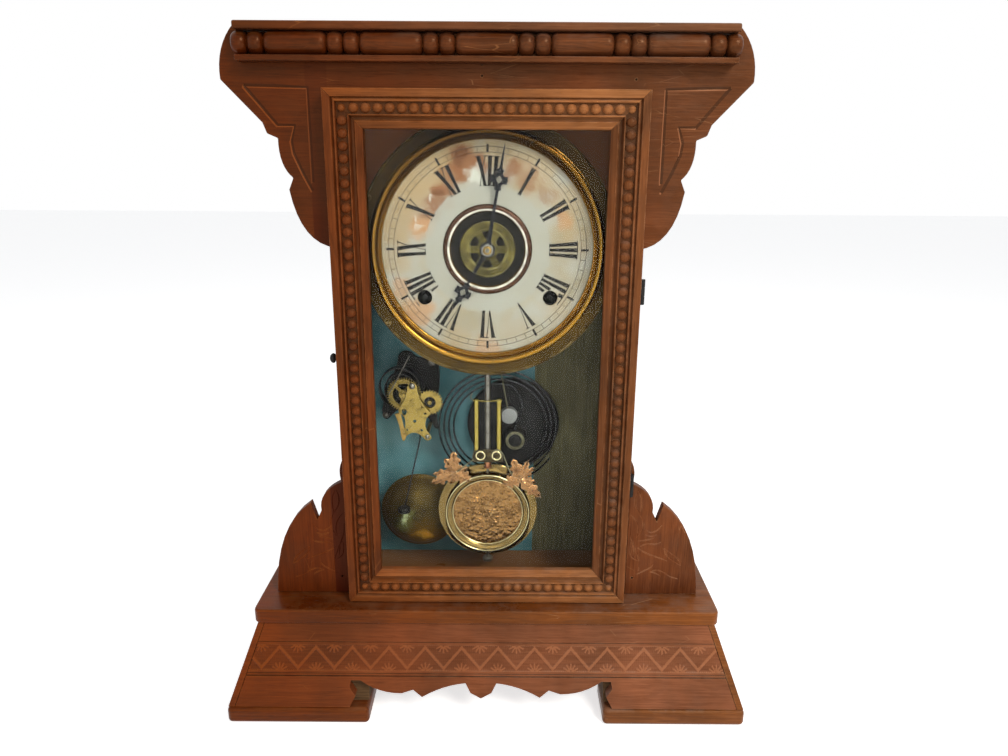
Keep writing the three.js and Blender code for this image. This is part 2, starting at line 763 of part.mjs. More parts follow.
// ---------------------------------------------------------------- dial and hands
function addDial() {
  const dial = groupAt(0, 0, dialZ);
  const hubHole = hourPipeRadius + 1.1;
  const wellY = panFaceY + wellDepth;
  const ringOuter = wellRadius + ringWidth;
  const pan = turned([
    [hubHole, wellY],
    [wellRadius - 0.4, wellY],
    [wellRadius + 0.6, panFaceY - 0.4],
    [wellRadius + 1.8, panFaceY - ringHeight],
    [ringOuter - 0.8, panFaceY - ringHeight],
    [ringOuter, panFaceY],
    [panRadius, panFaceY],
    [panRadius, panFaceY + panThickness],
    [ringOuter + 0.4, panFaceY + panThickness],
    [ringOuter - 1.2, panFaceY - ringHeight + panThickness],
    [wellRadius + 2, panFaceY - ringHeight + panThickness],
    [wellRadius + 0.4, wellY + panThickness],
    [hubHole, wellY + panThickness],
    [hubHole, wellY],
  ], 40);
  const windingHoles = [-1, 1].map((side) => bar(
    [side * windingX, panFaceY - 5, -windingDrop],
    [side * windingX, panFaceY + 5, -windingDrop],
    windingHoleRadius,
    16,
  ));
  piece('dial_pan', cut(pan, ...windingHoles), zinc, dial);

  const paperY = panFaceY - gap - paperThickness;
  const face = disc(0, 0, paperRadius, 48);
  withHole(face, 0, 0, ringOuter + gap, 40);
  withHole(face, windingX, -windingDrop, windingHoleRadius, 16);
  withHole(face, -windingX, -windingDrop, windingHoleRadius, 16);
  piece('dial_paper', panel(face, paperY, paperY + paperThickness), dialpaper, dial);

  const bezelY = paperY - gap;
  const bezelFront = bezelY - bezelHeight;
  const bezel = turned([
    [bezelInner, bezelY],
    [bezelInner, bezelY - 2.6],
    [bezelInner + 1.6, bezelY - 4],
    [bezelInner + 2.2, bezelY - 3.2],
    [bezelInner + 3.4, bezelFront + 1.6],
    [bezelInner + 5.2, bezelFront],
    [bezelInner + 7, bezelFront + 1],
    [bezelOuter - 0.8, bezelFront + 3.6],
    [bezelOuter, bezelFront + 4.6],
    [bezelOuter, bezelY],
    [bezelInner, bezelY],
  ], 48);
  piece('bezel', bezel, brass, dial);

  // alarm disc: five windows between its hub and its rim
  const discY = wellY - 0.8 - sheetThickness;
  const alarmDisc = withHole(disc(0, 0, alarmDiscRadius, 32), 0, 0, hourPipeRadius + gap);
  const windowCount = 6;
  for (let i = 0; i < windowCount; i += 1) {
    const middle = (i * 360) / windowCount + 30;
    alarmDisc.holes.push(new THREE.Path([
      polar(7.4, middle - 14),
      polar(12.6, middle - 19),
      polar(13.4, middle),
      polar(12.6, middle + 19),
      polar(7.4, middle + 14),
    ].map((point) => new THREE.Vector2(...point))));
  }
  piece('alarm_disc', panel(alarmDisc, discY, discY + sheetThickness), brass, dial);
  addHands(dial);
}

// A hand: a round boss, a tapering blade, a four-lobed ornament and a pointed tip, along +Z.
function handShape(length, ornament, bossRadius, holeRadius) {
  const blade = new THREE.Shape();
  const arm = 4.4;
  blade.moveTo(-1.7, bossRadius * 0.6);
  blade.lineTo(-0.9, ornament - arm);
  for (const [x, z] of [[-3, -3.4], [-arm, -1.4], [-arm, 1.4], [-3, 3.4]]) blade.lineTo(x, ornament + z);
  blade.lineTo(-1.4, ornament + arm);
  blade.lineTo(0, length);
  blade.lineTo(1.4, ornament + arm);
  for (const [x, z] of [[3, 3.4], [arm, 1.4], [arm, -1.4], [3, -3.4]]) blade.lineTo(x, ornament + z);
  blade.lineTo(0.9, ornament - arm);
  blade.lineTo(1.7, bossRadius * 0.6);
  return { blade, boss: disc(0, 0, bossRadius, 16), holeRadius };
}

function addHand(name, parts, y, degrees, parent) {
  const hole = bar([0, y - 2, 0], [0, y + 2, 0], parts.holeRadius, 12);
  const flat = cut(join(
    panel(parts.blade, y, y + sheetThickness),
    panel(parts.boss, y, y + sheetThickness),
  ), hole);
  piece(name, flat.rotateY(THREE.MathUtils.degToRad(degrees)), bluedsteel, parent);
}

function addHands(dial) {
  const hourY = panFaceY - ringHeight - 0.9 - sheetThickness;
  const minuteY = hourY - 1.2 - sheetThickness;
  const pipeBore = minuteArborRadius + gap;
  addHand('hour_hand', handShape(hourHandLength, 35.5, 5.6, hourPipeRadius + gap), hourY, hourAngle, dial);
  addHand('minute_hand', handShape(minuteHandLength, 49.7, 4.4, pipeBore), minuteY, minuteAngle, dial);
  const nutFront = minuteY - gap - 2.3;
  piece('hand_nut', turned([
    [pipeBore, minuteY - gap],
    [3.2, minuteY - gap],
    [3.2, nutFront + 0.9],
    [2.4, nutFront],
    [pipeBore, nutFront],
    [pipeBore, minuteY - gap],
  ], 16), brass, dial);

  // motion work: the minute arbor turns the motion wheel, and that turns the hour wheel twelve times slower
  const hourWheelY = 0;
  const cannonY = 2.6;
  const wheelThickness = 1.2;
  const motionRadius = (motionDistance * motionWheelTeeth) / (motionWheelTeeth + cannonTeeth);
  const cannonRadius = motionDistance - motionRadius;
  const hourWheelRadius = (motionDistance * hourWheelTeeth) / (hourWheelTeeth + motionPinionTeeth);
  const motionPinionRadius = motionDistance - hourWheelRadius;
  const meet = 90; // the wheels meet straight above the centre

  const hourWheel = panel(gearShape(hourWheelTeeth, hourWheelRadius, meet), hourWheelY, hourWheelY + 1.4);
  const pipe = bar([0, hourY - 0.4, 0], [0, hourWheelY + 1, 0], hourPipeRadius, 16);
  const bore = bar([0, hourY - 3, 0], [0, hourWheelY + 3, 0], pipeBore, 12);
  piece('hour_wheel', cut(join(hourWheel, pipe), bore), brass, dial);

  const cannon = panel(gearShape(cannonTeeth, cannonRadius, meet), cannonY, cannonY + 2.4);
  const arbor = bar([0, nutFront - 0.5, 0], [0, backPlateY - gap, 0], minuteArborRadius, 12);
  piece('minute_arbor', join(cannon, arbor), steel, dial);

  const motionPhase = -90 + 180 / motionWheelTeeth;
  const pinionPhase = -90 + 180 / motionPinionTeeth;
  const motionBore = bar([0, -5, 0], [0, 9, 0], 1.3, 12);
  piece('motion_wheel', cut(join(
    panel(gearShape(motionWheelTeeth, motionRadius, motionPhase), cannonY + 0.4, cannonY + 0.4 + wheelThickness),
    panel(gearShape(motionPinionTeeth, motionPinionRadius, pinionPhase), hourWheelY - 0.5, cannonY + 0.6),
  ), motionBore), brass, dial, [0, 0, motionDistance]);
}

// ---------------------------------------------------------------- movement
function addMovement() {
  const movement = groupAt(0, 0, dialZ);
  const corners = [];
  for (const side of [-1, 1]) {
    corners.push([side * (plateHalfWidth - pillarInset), plateAboveDial - pillarInset]);
    corners.push([side * (plateHalfWidth - pillarInset), -plateBelowDial + pillarInset]);
  }
  const plateShape = () => new THREE.Shape([
    [-plateHalfWidth, -plateBelowDial],
    [plateHalfWidth, -plateBelowDial],
    [plateHalfWidth, plateAboveDial],
    [-plateHalfWidth, plateAboveDial],
  ].map(([x, z]) => new THREE.Vector2(x, z)));

  const front = plateShape();
  withHole(front, 0, 0, minuteArborRadius + gap);
  for (const side of [-1, 1]) withHole(front, side * windingX, -windingDrop, 2.9);
  const frontParts = [panel(front, frontPlateY, frontPlateY + plateThickness)];
  const panBackY = panFaceY + panThickness + gap;
  for (const [x, z] of corners) frontParts.push(bar([x, panBackY, z], [x, frontPlateY + 0.5, z], 2));
  frontParts.push(bar([0, -1, motionDistance], [0, frontPlateY + 0.5, motionDistance], 1));
  frontParts.push(bar([0, 5.6, -vergeDrop], [0, frontPlateY + 0.5, -vergeDrop], 0.8));
  frontParts.push(block(
    [-2, 2],
    [rodY - 1.5, frontPlateY + 0.5],
    [-suspensionDrop, -suspensionDrop + 3.4],
  ));
  piece('movement_front_plate', join(...frontParts), brass, movement);

  const backParts = [panel(plateShape(), backPlateY, backPlateY + plateThickness)];
  const pillarFront = frontPlateY + plateThickness + gap;
  for (const [x, z] of corners) {
    backParts.push(bar([x, pillarFront, z], [x, backPlateY + 0.5, z], pillarRadius));
    backParts.push(bar([x, backPlateY + 0.5, z], [x, labelY - gap, z], pillarRadius + 1));
  }
  piece('movement_back_plate', join(...backParts), brass, movement);

  // one winding arbor with its great wheel each side, and a mainspring round it
  for (const [name, side] of [['time', 1], ['strike', -1]]) {
    const wheelY = frontPlateY + 4;
    const x = side * windingX;
    const wheel = ratchetShape(48, greatWheelRadius, greatWheelRadius - 1.4);
    const arbor = join(
      panel(wheel, wheelY, wheelY + 1.4),
      bar([0, panFaceY + 2, 0], [0, frontPlateY - 1, 0], 2.4, 4),
      bar([0, frontPlateY - 1.2, 0], [0, backPlateY - gap, 0], windingArborRadius, 12),
    );
    piece(`${name}_winding_arbor`, arbor, steel, movement, [x, 0, -windingDrop]);
    const springY = wheelY + 4;
    const springBore = windingArborRadius + gap;
    piece(`${name}_mainspring`, turned([
      [springBore, springY],
      [springOuterRadius, springY],
      [springOuterRadius, backPlateY - 2],
      [springBore, backPlateY - 2],
      [springBore, springY],
    ], 24), bluedsteel, movement, [x, 0, -windingDrop]);
  }

  // escape wheel in front of the plate, with the verge astride it
  const escapeY = frontPlateY - 3;
  const wheel = panel(ratchetShape(escapeTeeth, escapeRadius, escapeRadius - 2), escapeY, escapeY + 1.2);
  const staff = bar([0, escapeY - 0.5, 0], [0, frontPlateY - gap, 0], 1);
  piece('escape_wheel', join(wheel, staff), brass, movement, [0, 0, -escapeDrop]);
  addVerge(movement, escapeY);
}

function addVerge(movement, escapeY) {
  const lift = vergeDrop - escapeDrop; // from the verge's pin down to the escape wheel, so negative
  const inner = escapeRadius + palletClearance;
  const outer = inner + 2.6;
  const spread = 42;
  const points = [];
  for (let i = 0; i <= 8; i += 1) points.push(polar(outer, 90 - spread + (i * spread) / 4));
  for (let i = 8; i >= 0; i -= 1) points.push(polar(inner, 90 - spread + (i * spread) / 4));
  const strip = new THREE.Shape(points.map(([x, z]) => new THREE.Vector2(x, z + lift)));
  const crutchY = escapeY - 1.6;
  const pinBore = bar([0, crutchY - 2, 0], [0, escapeY + 3, 0], 1.1);
  const prongX = rodRadius + gap + 0.5;
  const parts = [
    panel(strip, escapeY - 0.4, escapeY + 1.4),
    panel(disc(0, 0, 3.2, 12), escapeY - 0.4, escapeY + 1.4),
    panel(disc(0, 0, 2.4, 12), crutchY - 0.4, escapeY),
    bar([0, crutchY, -1.6], [0, crutchY, -crutchLength], 0.5, 6),
    bar([-prongX - 0.4, crutchY, -crutchLength], [prongX + 0.4, crutchY, -crutchLength], 0.5, 6),
  ];
  for (const side of [-1, 1]) {
    parts.push(bar([side * prongX, crutchY, -crutchLength], [side * prongX, rodY - 1.6, -crutchLength], 0.45, 6));
  }
  piece('verge', cut(join(...parts), pinBore), steel, movement, [0, 0, -vergeDrop]);
}

// ---------------------------------------------------------------- pendulum
// A leaf cluster cut from sheet: pointed leaves that spread from one stem.
function leafCluster(leaves, y) {
  const blades = leaves.map(([degrees, length, width]) => {
    const turn = (along, across) => {
      const [ax, az] = polar(along, degrees);
      const [bx, bz] = polar(across, degrees + 90);
      return new THREE.Vector2(ax + bx, az + bz);
    };
    return panel(new THREE.Shape([
      turn(-2, -0.8),
      turn(length * 0.3, -width / 2),
      turn(length * 0.65, -width * 0.4),
      turn(length, 0),
      turn(length * 0.65, width * 0.4),
      turn(length * 0.3, width / 2),
      turn(-2, 0.8),
    ]), y, y + 1.2);
  });
  return join(...blades);
}

function addPendulum() {
  const suspensionZ = dialZ - suspensionDrop;
  const bobZ = suspensionZ - pendulumLength;
  const pendulum = groupAt(0, 0, bobZ);
  const top = pendulumLength - gap;
  const nutTop = -bobRadius - gap;

  const rod = new THREE.LatheGeometry([
    [0, nutTop - nutHeight - 1.6],
    [rodRadius, nutTop - nutHeight - 1.6],
    [rodRadius, tubeBottom - 3],
    [sleeveRadius, tubeBottom - 2],
    [sleeveRadius, tubeTop + 22],
    [rodRadius, tubeTop + 23],
    [rodRadius, top],
    [0, top],
  ].map(([radius, height]) => new THREE.Vector2(radius, height)), 12).rotateX(Math.PI / 2);
  piece('pendulum_rod', rod, steel, pendulum, [0, rodY, 0]);

  // frame of two tubes, hung in front of the rod, with eyelets and leaf sprays
  const tubeY = rodY - 1;
  const plateY = tubeY - tubeRadius - 0.5;
  const frame = [
    bar([-tubeX - 3, plateY + 0.5, tubeTop - 1], [tubeX + 3, plateY + 0.5, tubeTop - 1], 0.5, 6),
    panel(new THREE.Shape([[-12, 44], [12, 44], [12, 54], [-12, 54]].map(([x, z]) => new THREE.Vector2(x, z))),
      plateY, plateY + 0.9),
  ];
  for (const side of [-1, 1]) {
    frame.push(bar([side * tubeX, tubeY, tubeBottom], [side * tubeX, tubeY, tubeTop], tubeRadius, 10));
  }
  for (const eyeletX of [-5.6, 7]) {
    const eyelet = turned([[3.2, plateY - 1], [4.4, plateY - 1], [4.4, plateY + 0.4], [3.2, plateY + 0.4], [3.2, plateY - 1]], 12);
    frame.push(eyelet.translate(eyeletX, 0, 49.5));
  }
  const leafY = -3.4;
  const sprays = [
    { x: -28, z: 34.6, leaves: [[95, 16, 9], [205, 20, 9], [250, 13, 8], [335, 14, 9]] },
    { x: 25.4, z: 29.6, leaves: [[112, 16, 8], [60, 15, 7], [318, 22, 8], [195, 14, 9]] },
  ];
  for (const { x, z, leaves } of sprays) {
    frame.push(leafCluster(leaves, leafY).translate(x, 0, z));
    frame.push(bar([Math.sign(x) * 11, plateY + 0.4, 50], [x * 0.93, leafY + 0.8, z + 1], 0.6, 6));
  }
  piece('pendulum_frame', join(...frame), brass, pendulum);

  const bob = turned([
    [0, 1.2],
    [bobDiscRadius, 1.2],
    [bobDiscRadius + 0.6, -0.6],
    [bobDiscRadius + 2.6, -1.6],
    [bobRingRadius - 0.6, -1.2],
    [bobRingRadius, 0.4],
    [bobRingRadius, 4.5],
    [bobRingRadius + 3, 6.3],
    [bobRadius - 0.6, 6.6],
    [bobRadius, 7.4],
    [bobRadius - 0.6, 8.2],
    [0, 8.2],
  ], 40);
  const bore = bar([0, rodY, -bobRadius - 5], [0, rodY, bobRadius + 5], bobBore, 10);
  piece('pendulum_bob', cut(bob, bore), brass, pendulum);

  const nut = new THREE.LatheGeometry([
    [bobBore, nutTop - nutHeight],
    [nutRadius - 0.6, nutTop - nutHeight],
    [nutRadius, nutTop - nutHeight + 0.7],
    [nutRadius, nutTop - 0.7],
    [nutRadius - 0.6, nutTop],
    [bobBore, nutTop],
    [bobBore, nutTop - nutHeight],
  ].map(([radius, height]) => new THREE.Vector2(radius, height)), 16).rotateX(Math.PI / 2);
  piece('rating_nut', nut, steel, pendulum, [0, rodY, 0]);
}

// ---------------------------------------------------------------- wound forms
// The least distance between stretches of a path that lie on different turns.
function leastTurnDistance(points, perTurn) {
  let least = Infinity;
  for (let i = 0; i < points.length; i += 1) {
    for (let j = i + Math.floor(perTurn * 0.6); j < points.length; j += 1) {
      least = Math.min(least, points[i].distanceTo(points[j]));
    }
  }
  return least;
}

function gongPath() {
  const stepsPerTurn = 24;
  const riseTop = gongPostRadius - gongPostDrop + gap;
  const points = [
    [gongPostX, riseTop],
    [gongPostX, riseTop + 2 * gongWireRadius],
    [gongPostX + 1.6, 5.5],
    [gongPostX + 5, 12.5],
    [gongPostX + 5.6, 20],
    [gongPostX + 3, 27],
  ];
  const startAngle = 75;
  const steps = Math.round(gongTurns * stepsPerTurn);
  for (let i = 0; i <= steps; i += 1) {
    const share = i / steps;
    points.push(polar(
      gongInnerRadius + (gongOuterRadius - gongInnerRadius) * share,
      startAngle + share * gongTurns * 360,
    ));
  }
  return points.map(([x, z]) => new THREE.Vector3(x, 0, z));
}

function addGong() {
  const gong = groupAt(gongX, gongY, shelfZ + gongHeight);
  const points = gongPath();
  const clearance = leastTurnDistance(points, 24) - 2 * gongWireRadius;
  console.log(`gong_coil least gap to itself ${clearance.toFixed(2)} mm`);
  const wire = new THREE.ExtrudeGeometry(disc(0, 0, gongWireRadius, 6), {
    steps: points.length + 3,
    bevelEnabled: false,
    extrudePath: new THREE.CatmullRomCurve3(points),
  });
  piece('gong_coil', wire, bluedsteel, gong);

  const baseBack = labelY - gap - gongY;
  const baseFront = baseBack - gongBaseThickness;
  const base = panel(disc(gongBaseX, gongBaseRise, gongBaseRadius, 32), baseFront, baseBack);
  const post = bar([gongPostX, -4, -gongPostDrop], [gongPostX, baseFront + 1, -gongPostDrop], gongPostRadius, 20);
  piece('gong_base', join(base, post), blackiron, gong);

  // hammer: its arbor runs between the movement's plates and its head hangs beside the coil's root
  const pivotX = 0.5;
  const pivotZ = dialZ - escapeDrop;
  const hammer = groupAt(pivotX, 0, pivotZ);
  const headX = gongX + gongHeadAside - pivotX;
  const headZ = shelfZ + gongHeight + gongHeadRise - pivotZ;
  piece('gong_hammer', join(
    bar([0, frontPlateY + plateThickness + gap, 0], [0, backPlateY - gap, 0], 1.5, 10),
    bar([0, gongY - 3, 0], [headX, gongY - 3, headZ], 0.7, 6),
    bar([headX, gongY - 4.5, headZ], [headX, gongY + 2.5, headZ], gongHeadRadius, 20),
  ), steel, hammer);
}

// ---------------------------------------------------------------- alarm
function springShape() {
  const stepsPerTurn = 24;
  const steps = alarmSpringTurns * stepsPerTurn;
  const drift = [-4, 5]; // the loose outer turns hang towards the upper left
  const at = (i, offset) => {
    const share = i / steps;
    const radius = alarmSpringInner + (alarmSpringOuter - alarmSpringInner) * share + offset;
    const [x, z] = polar(radius, share * alarmSpringTurns * 360);
    return new THREE.Vector2(x + drift[0] * share, z + drift[1] * share);
  };
  const middle = [];
  const outer = [];
  const inner = [];
  for (let i = 0; i <= steps; i += 1) {
    middle.push(at(i, 0));
    outer.push(at(i, alarmSpringStrip / 2));
    inner.push(at(i, -alarmSpringStrip / 2));
  }
  const clearance = leastTurnDistance(middle, stepsPerTurn) - alarmSpringStrip;
  console.log(`alarm_mainspring least gap to itself ${clearance.toFixed(2)} mm`);
  return new THREE.Shape(outer.concat(inner.reverse()));
}

function addAlarm() {
  const alarm = groupAt(alarmX, 0, shelfZ + alarmHeight);
  const wheelRadius = (alarmModule * alarmWheelTeeth) / 2;
  const pinionRadius = (alarmModule * alarmPinionTeeth) / 2;
  const second = polar(wheelRadius + pinionRadius, alarmSecondAngle);
  const studRadius = 1.6;
  const bore = (x, z) => bar([x, 0, z], [x, 45, z], studRadius + gap, 12);
  const wheelY = alarmPlateY + 6;
  const springY = wheelY + 4;
  const frameY = labelY - gap - 3.6;

  // frame: a brass front plate on two pillars, an iron bar behind, and studs for both wheels
  const plate = new THREE.Shape();
  plate.moveTo(5.5, 11.5);
  plate.lineTo(3.4, 8);
  plate.quadraticCurveTo(3.6, 0, -3.6, -9.5);
  plate.lineTo(1.1, -20);
  plate.lineTo(-0.5, -29);
  plate.lineTo(1.5, -33.5);
  plate.quadraticCurveTo(7.2, -27, 13.5, -32.5);
  plate.lineTo(18.6, -36.2);
  plate.lineTo(21.7, -33.5);
  plate.lineTo(18.1, -27.9);
  plate.lineTo(17.6, -17.9);
  plate.lineTo(21.5, -13);
  plate.quadraticCurveTo(13, -5, 10.9, 8);
  plate.lineTo(9, 11.5);
  const backBar = new THREE.Shape([
    [-21.2, -27.5],
    [-17, -28.5],
    [24, -38],
    [26, -2],
    [25.5, 22],
    [20, 25.5],
    [-6, 8],
    [-22, -21],
  ].map(([x, z]) => new THREE.Vector2(x, z)));
  const pillars = [[9.5, -17], [18.2, -32.5]];
  piece('alarm_frame', join(
    panel(plate, alarmPlateY, alarmPlateY + 1.2),
    panel(backBar, frameY, frameY + 3.6),
    ...pillars.map(([x, z]) => bar([x, alarmPlateY + 0.5, z], [x, frameY + 1, z], 1.5)),
    bar([0, wheelY - 1.5, 0], [0, frameY + 1, 0], studRadius),
    bar([second[0], alarmPlateY + 2.2, second[1]], [second[0], frameY + 1, second[1]], studRadius),
    bar([0, springY - 0.5, 0], [0, frameY + 1, 0], alarmSpringInner - alarmSpringStrip / 2 - gap, 12),
    bar([7.2, alarmPlateY - 1.4, 9], [7.2, alarmPlateY + 0.6, 9], 2.6, 12),
  ), brass, alarm);

  const wheel = panel(gearShape(alarmWheelTeeth, wheelRadius, alarmSecondAngle), wheelY, wheelY + 1.2);
  piece('alarm_great_wheel', cut(wheel, bore(0, 0)), brass, alarm);

  const pinionPhase = alarmSecondAngle + 180 + 180 / alarmPinionTeeth;
  const secondWheel = join(
    panel(ratchetShape(alarmSecondTeeth, alarmSecondRadius, alarmSecondRadius - 1.8), wheelY - 3, wheelY - 1.8),
    panel(gearShape(alarmPinionTeeth, pinionRadius, pinionPhase), wheelY - 2, wheelY + 1.6),
  );
  piece('alarm_second_wheel', cut(secondWheel, bore(0, 0)), brass, alarm, [second[0], 0, second[1]]);

  piece('alarm_mainspring', panel(springShape(), springY, springY + alarmSpringWidth), bluedsteel, alarm);

  // hammer: a wire that hangs from the frame to a round head in front of the bell
  const pivot = [13.5, alarmPlateY + 1.2 + gap + 1.6, -25];
  const hammer = groupAt(alarmX + pivot[0], pivot[1], shelfZ + alarmHeight + pivot[2]);
  const head = [-14.8, -8.2, -70.5];
  piece('alarm_hammer', join(
    bar([-3, 0, 0], [3, 0, 0], 1.6, 10),
    bar([0, 0, 0], [-1.5, 0, -13], 0.6, 6),
    bar([-1.45, 0, -12.4], [head[0], head[1], head[2]], 0.6, 6),
    bar([head[0], head[1], head[2] + 2], [head[0] - 0.6, head[1], head[2] - 2], 5, 14),
  ), bluedsteel, hammer);
}

function addBell() {
  const bell = groupAt(bellX, 0, shelfZ + bellHeight);
  const rimY = bellFaceY + bellDepth;
  const hole = bellPostRadius + gap;
  const dome = turned([
    [hole, bellFaceY],
    [10, bellFaceY + 0.4],
    [20.1, bellFaceY + 2.6],
    [26.9, bellFaceY + 6.4],
    [29.6, bellFaceY + 10],
    [bellRadius, rimY],
    [bellRadius - bellWall, rimY],
    [29.6 - bellWall, bellFaceY + 10.6],
    [26.9 - bellWall, bellFaceY + 7.6],
    [20.1 - 0.8, bellFaceY + 4.2],
    [10, bellFaceY + bellWall + 0.4],
    [hole, bellFaceY + bellWall],
    [hole, bellFaceY],
  ], 32);
  piece('alarm_bell', dome, brass, bell);
  const post = join(
    bar([0, bellFaceY - 3, 0], [0, labelY - gap, 0], bellPostRadius, 12),
    bar([0, bellFaceY - 3, 0], [0, bellFaceY - gap, 0], 4.2, 12),
    bar([0, bellFaceY + bellWall + gap, 0], [0, labelY - gap, 0], 4, 12),
  );
  piece('bell_post', post, steel, bell);
}

addCase();
addCornice();
addWings();
addBase();
addDoor();
addHinges();
addDial();
addMovement();
addPendulum();
addGong();
addAlarm();
addBell();

export default clock;
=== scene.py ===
import math

import bmesh
import bpy
import numpy as np
from mathutils import Matrix, Vector, noise


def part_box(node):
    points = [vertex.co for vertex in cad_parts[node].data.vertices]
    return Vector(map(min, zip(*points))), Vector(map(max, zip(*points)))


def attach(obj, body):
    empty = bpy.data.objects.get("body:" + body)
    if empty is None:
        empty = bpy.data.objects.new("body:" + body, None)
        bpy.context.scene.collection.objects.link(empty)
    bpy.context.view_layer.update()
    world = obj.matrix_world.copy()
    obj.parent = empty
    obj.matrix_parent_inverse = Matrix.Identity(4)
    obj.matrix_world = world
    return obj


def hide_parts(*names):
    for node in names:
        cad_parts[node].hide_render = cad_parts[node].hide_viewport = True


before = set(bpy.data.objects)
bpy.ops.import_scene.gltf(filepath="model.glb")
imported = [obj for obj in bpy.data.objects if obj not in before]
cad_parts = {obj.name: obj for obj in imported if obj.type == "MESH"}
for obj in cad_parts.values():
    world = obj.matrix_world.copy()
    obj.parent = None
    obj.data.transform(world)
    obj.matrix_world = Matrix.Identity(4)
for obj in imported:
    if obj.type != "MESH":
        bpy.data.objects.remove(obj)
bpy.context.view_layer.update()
scene = bpy.context.scene
mm = 0.001  # pieces are drawn in millimetres and scaled once, in addPiece
noise.seed_set(1)  # the offsets of noise_vector, used by emboss


# ---- camera, light and floor

cameraSet = {
    "at": (12.5, -555.5, 425.6),
    "pitchDown": 16.0,
    "roll": 0.37,
    "focalPixels": 757.0,
    "imageWidth": 1008.0,
    "sensor": 36.0,
}
lightSet = {
    "key": {"at": (0.85, -1.25, 1.35), "size": 0.55, "power": 21.0, "tint": (1.0, 0.96, 0.9)},
    "fill": {"at": (-1.3, -1.4, 0.7), "size": 1.6, "power": 5.0, "tint": (0.92, 0.96, 1.0)},
    "top": {"at": (0.1, 0.2, 1.7), "size": 1.2, "power": 6.0, "tint": (1.0, 0.98, 0.95)},
    "front": {"at": (0.1, -1.6, 0.45), "size": 1.0, "power": 5.0, "tint": (1.0, 0.98, 0.95)},
    "aim": (0.0, 0.0, 0.26),
    "world": 0.32,
}


def put(tree, kind, inputs=None, **settings):
    node = tree.nodes.new("ShaderNode" + kind)
    for key, value in settings.items():
        setattr(node, key, value)
    for key, value in (inputs or {}).items():
        if isinstance(value, bpy.types.NodeSocket):
            tree.links.new(value, node.inputs[key])
        else:
            node.inputs[key].default_value = value
    return node


def math2(tree, operation, first, second=0.0, clamp=False):
    return put(tree, "Math", {0: first, 1: second}, operation=operation, use_clamp=clamp).outputs[0]


def times(tree, first, second, clamp=False):
    return math2(tree, "MULTIPLY", first, second, clamp)


def setCamera(values):
    data = bpy.data.cameras.new("camera")
    data.lens = values["focalPixels"] / values["imageWidth"] * values["sensor"]
    data.sensor_width = values["sensor"]
    data.clip_start = 0.01
    camera = bpy.data.objects.new("camera", data)
    scene.collection.objects.link(camera)
    tilt = Matrix.Rotation(math.radians(90 - values["pitchDown"]), 4, "X")
    roll = Matrix.Rotation(math.radians(values["roll"]), 4, "Z")
    camera.matrix_world = Matrix.Translation(Vector(values["at"]) * mm) @ tilt @ roll
    scene.camera = camera


def setLights(values):
    for name in ("key", "fill", "top", "front"):
        lamp = values[name]
        data = bpy.data.lights.new(name, "AREA")
        data.energy = lamp["power"]
        data.size = lamp["size"]
        data.color = lamp["tint"]
        light = bpy.data.objects.new(name, data)
        scene.collection.objects.link(light)
        light.location = lamp["at"]
        direction = Vector(values["aim"]) - Vector(lamp["at"])
        light.rotation_euler = direction.to_track_quat("-Z", "Y").to_euler()


def seenFactor(tree):
    # 1 where the camera, a reflection or a pane of glass sees the surface
    path = put(tree, "LightPath").outputs
    seen = math2(tree, "MAXIMUM", path["Is Camera Ray"], path["Is Glossy Ray"])
    return math2(tree, "MAXIMUM", seen, path["Is Transmission Ray"])


def setWorld(values):
    world = bpy.data.worlds.new("studio")
    scene.world = world
    world.use_nodes = True
    tree = world.node_tree
    tree.nodes.clear()
    output = put(tree, "OutputWorld")
    soft = put(tree, "Background", {"Color": (0.95, 0.97, 1.0, 1), "Strength": values["world"]})
    white = put(tree, "Background", {"Color": (1, 1, 1, 1)})
    mix = put(tree, "MixShader", {0: seenFactor(tree), 1: soft.outputs[0], 2: white.outputs[0]})
    tree.links.new(mix.outputs[0], output.inputs[0])


floorSize, floorGlow = 6, 0.62  # metres from the middle, and how far the floor lights itself white


def setFloor():
    grid = bmesh.new()
    bmesh.ops.create_grid(grid, x_segments=1, y_segments=1, size=floorSize)
    mesh = bpy.data.meshes.new("floor")
    grid.to_mesh(mesh)
    grid.free()
    floor = bpy.data.objects.new("floor", mesh)
    scene.collection.objects.link(floor)
    material = bpy.data.materials.new("floor")
    material.use_nodes = True
    tree = material.node_tree
    shader = tree.nodes["Principled BSDF"]
    shader.inputs["Base Color"].default_value = (0.93, 0.93, 0.93, 1)
    shader.inputs["Roughness"].default_value = 0.9
    shader.inputs["Specular IOR Level"].default_value = 0.1
    shader.inputs["Emission Color"].default_value = (1, 1, 1, 1)
    glow = times(tree, seenFactor(tree), floorGlow)
    tree.links.new(glow, shader.inputs["Emission Strength"])
    mesh.materials.append(material)


setCamera(cameraSet)
setLights(lightSet)
setWorld(lightSet)
setFloor()
scene.view_settings.view_transform = "Standard"
print("camera, light and floor are set")


# ---- where the nodes are, in millimetres

nodeBoxes = {}


def nodeBox(node):
    if node not in nodeBoxes:
        low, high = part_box(node)
        nodeBoxes[node] = (low / mm, high / mm)
    low, high = nodeBoxes[node]
    return low.copy(), high.copy()


def centreOf(node):
    low, high = nodeBox(node)
    return (low + high) / 2


dialCentre = centreOf("bezel")
bobCentre = centreOf("pendulum_bob")
gongCentre = centreOf("gong_base")
bellCentre = centreOf("alarm_bell")
alarmCentre = centreOf("alarm_great_wheel")
boardFace = nodeBox("front_board")[0].y
caseHalf = nodeBox("case_right_side")[1].x
shelfTop = nodeBox("base_shelf")[1].z
backFront = nodeBox("backboard")[0].y


# ---- mesh helpers


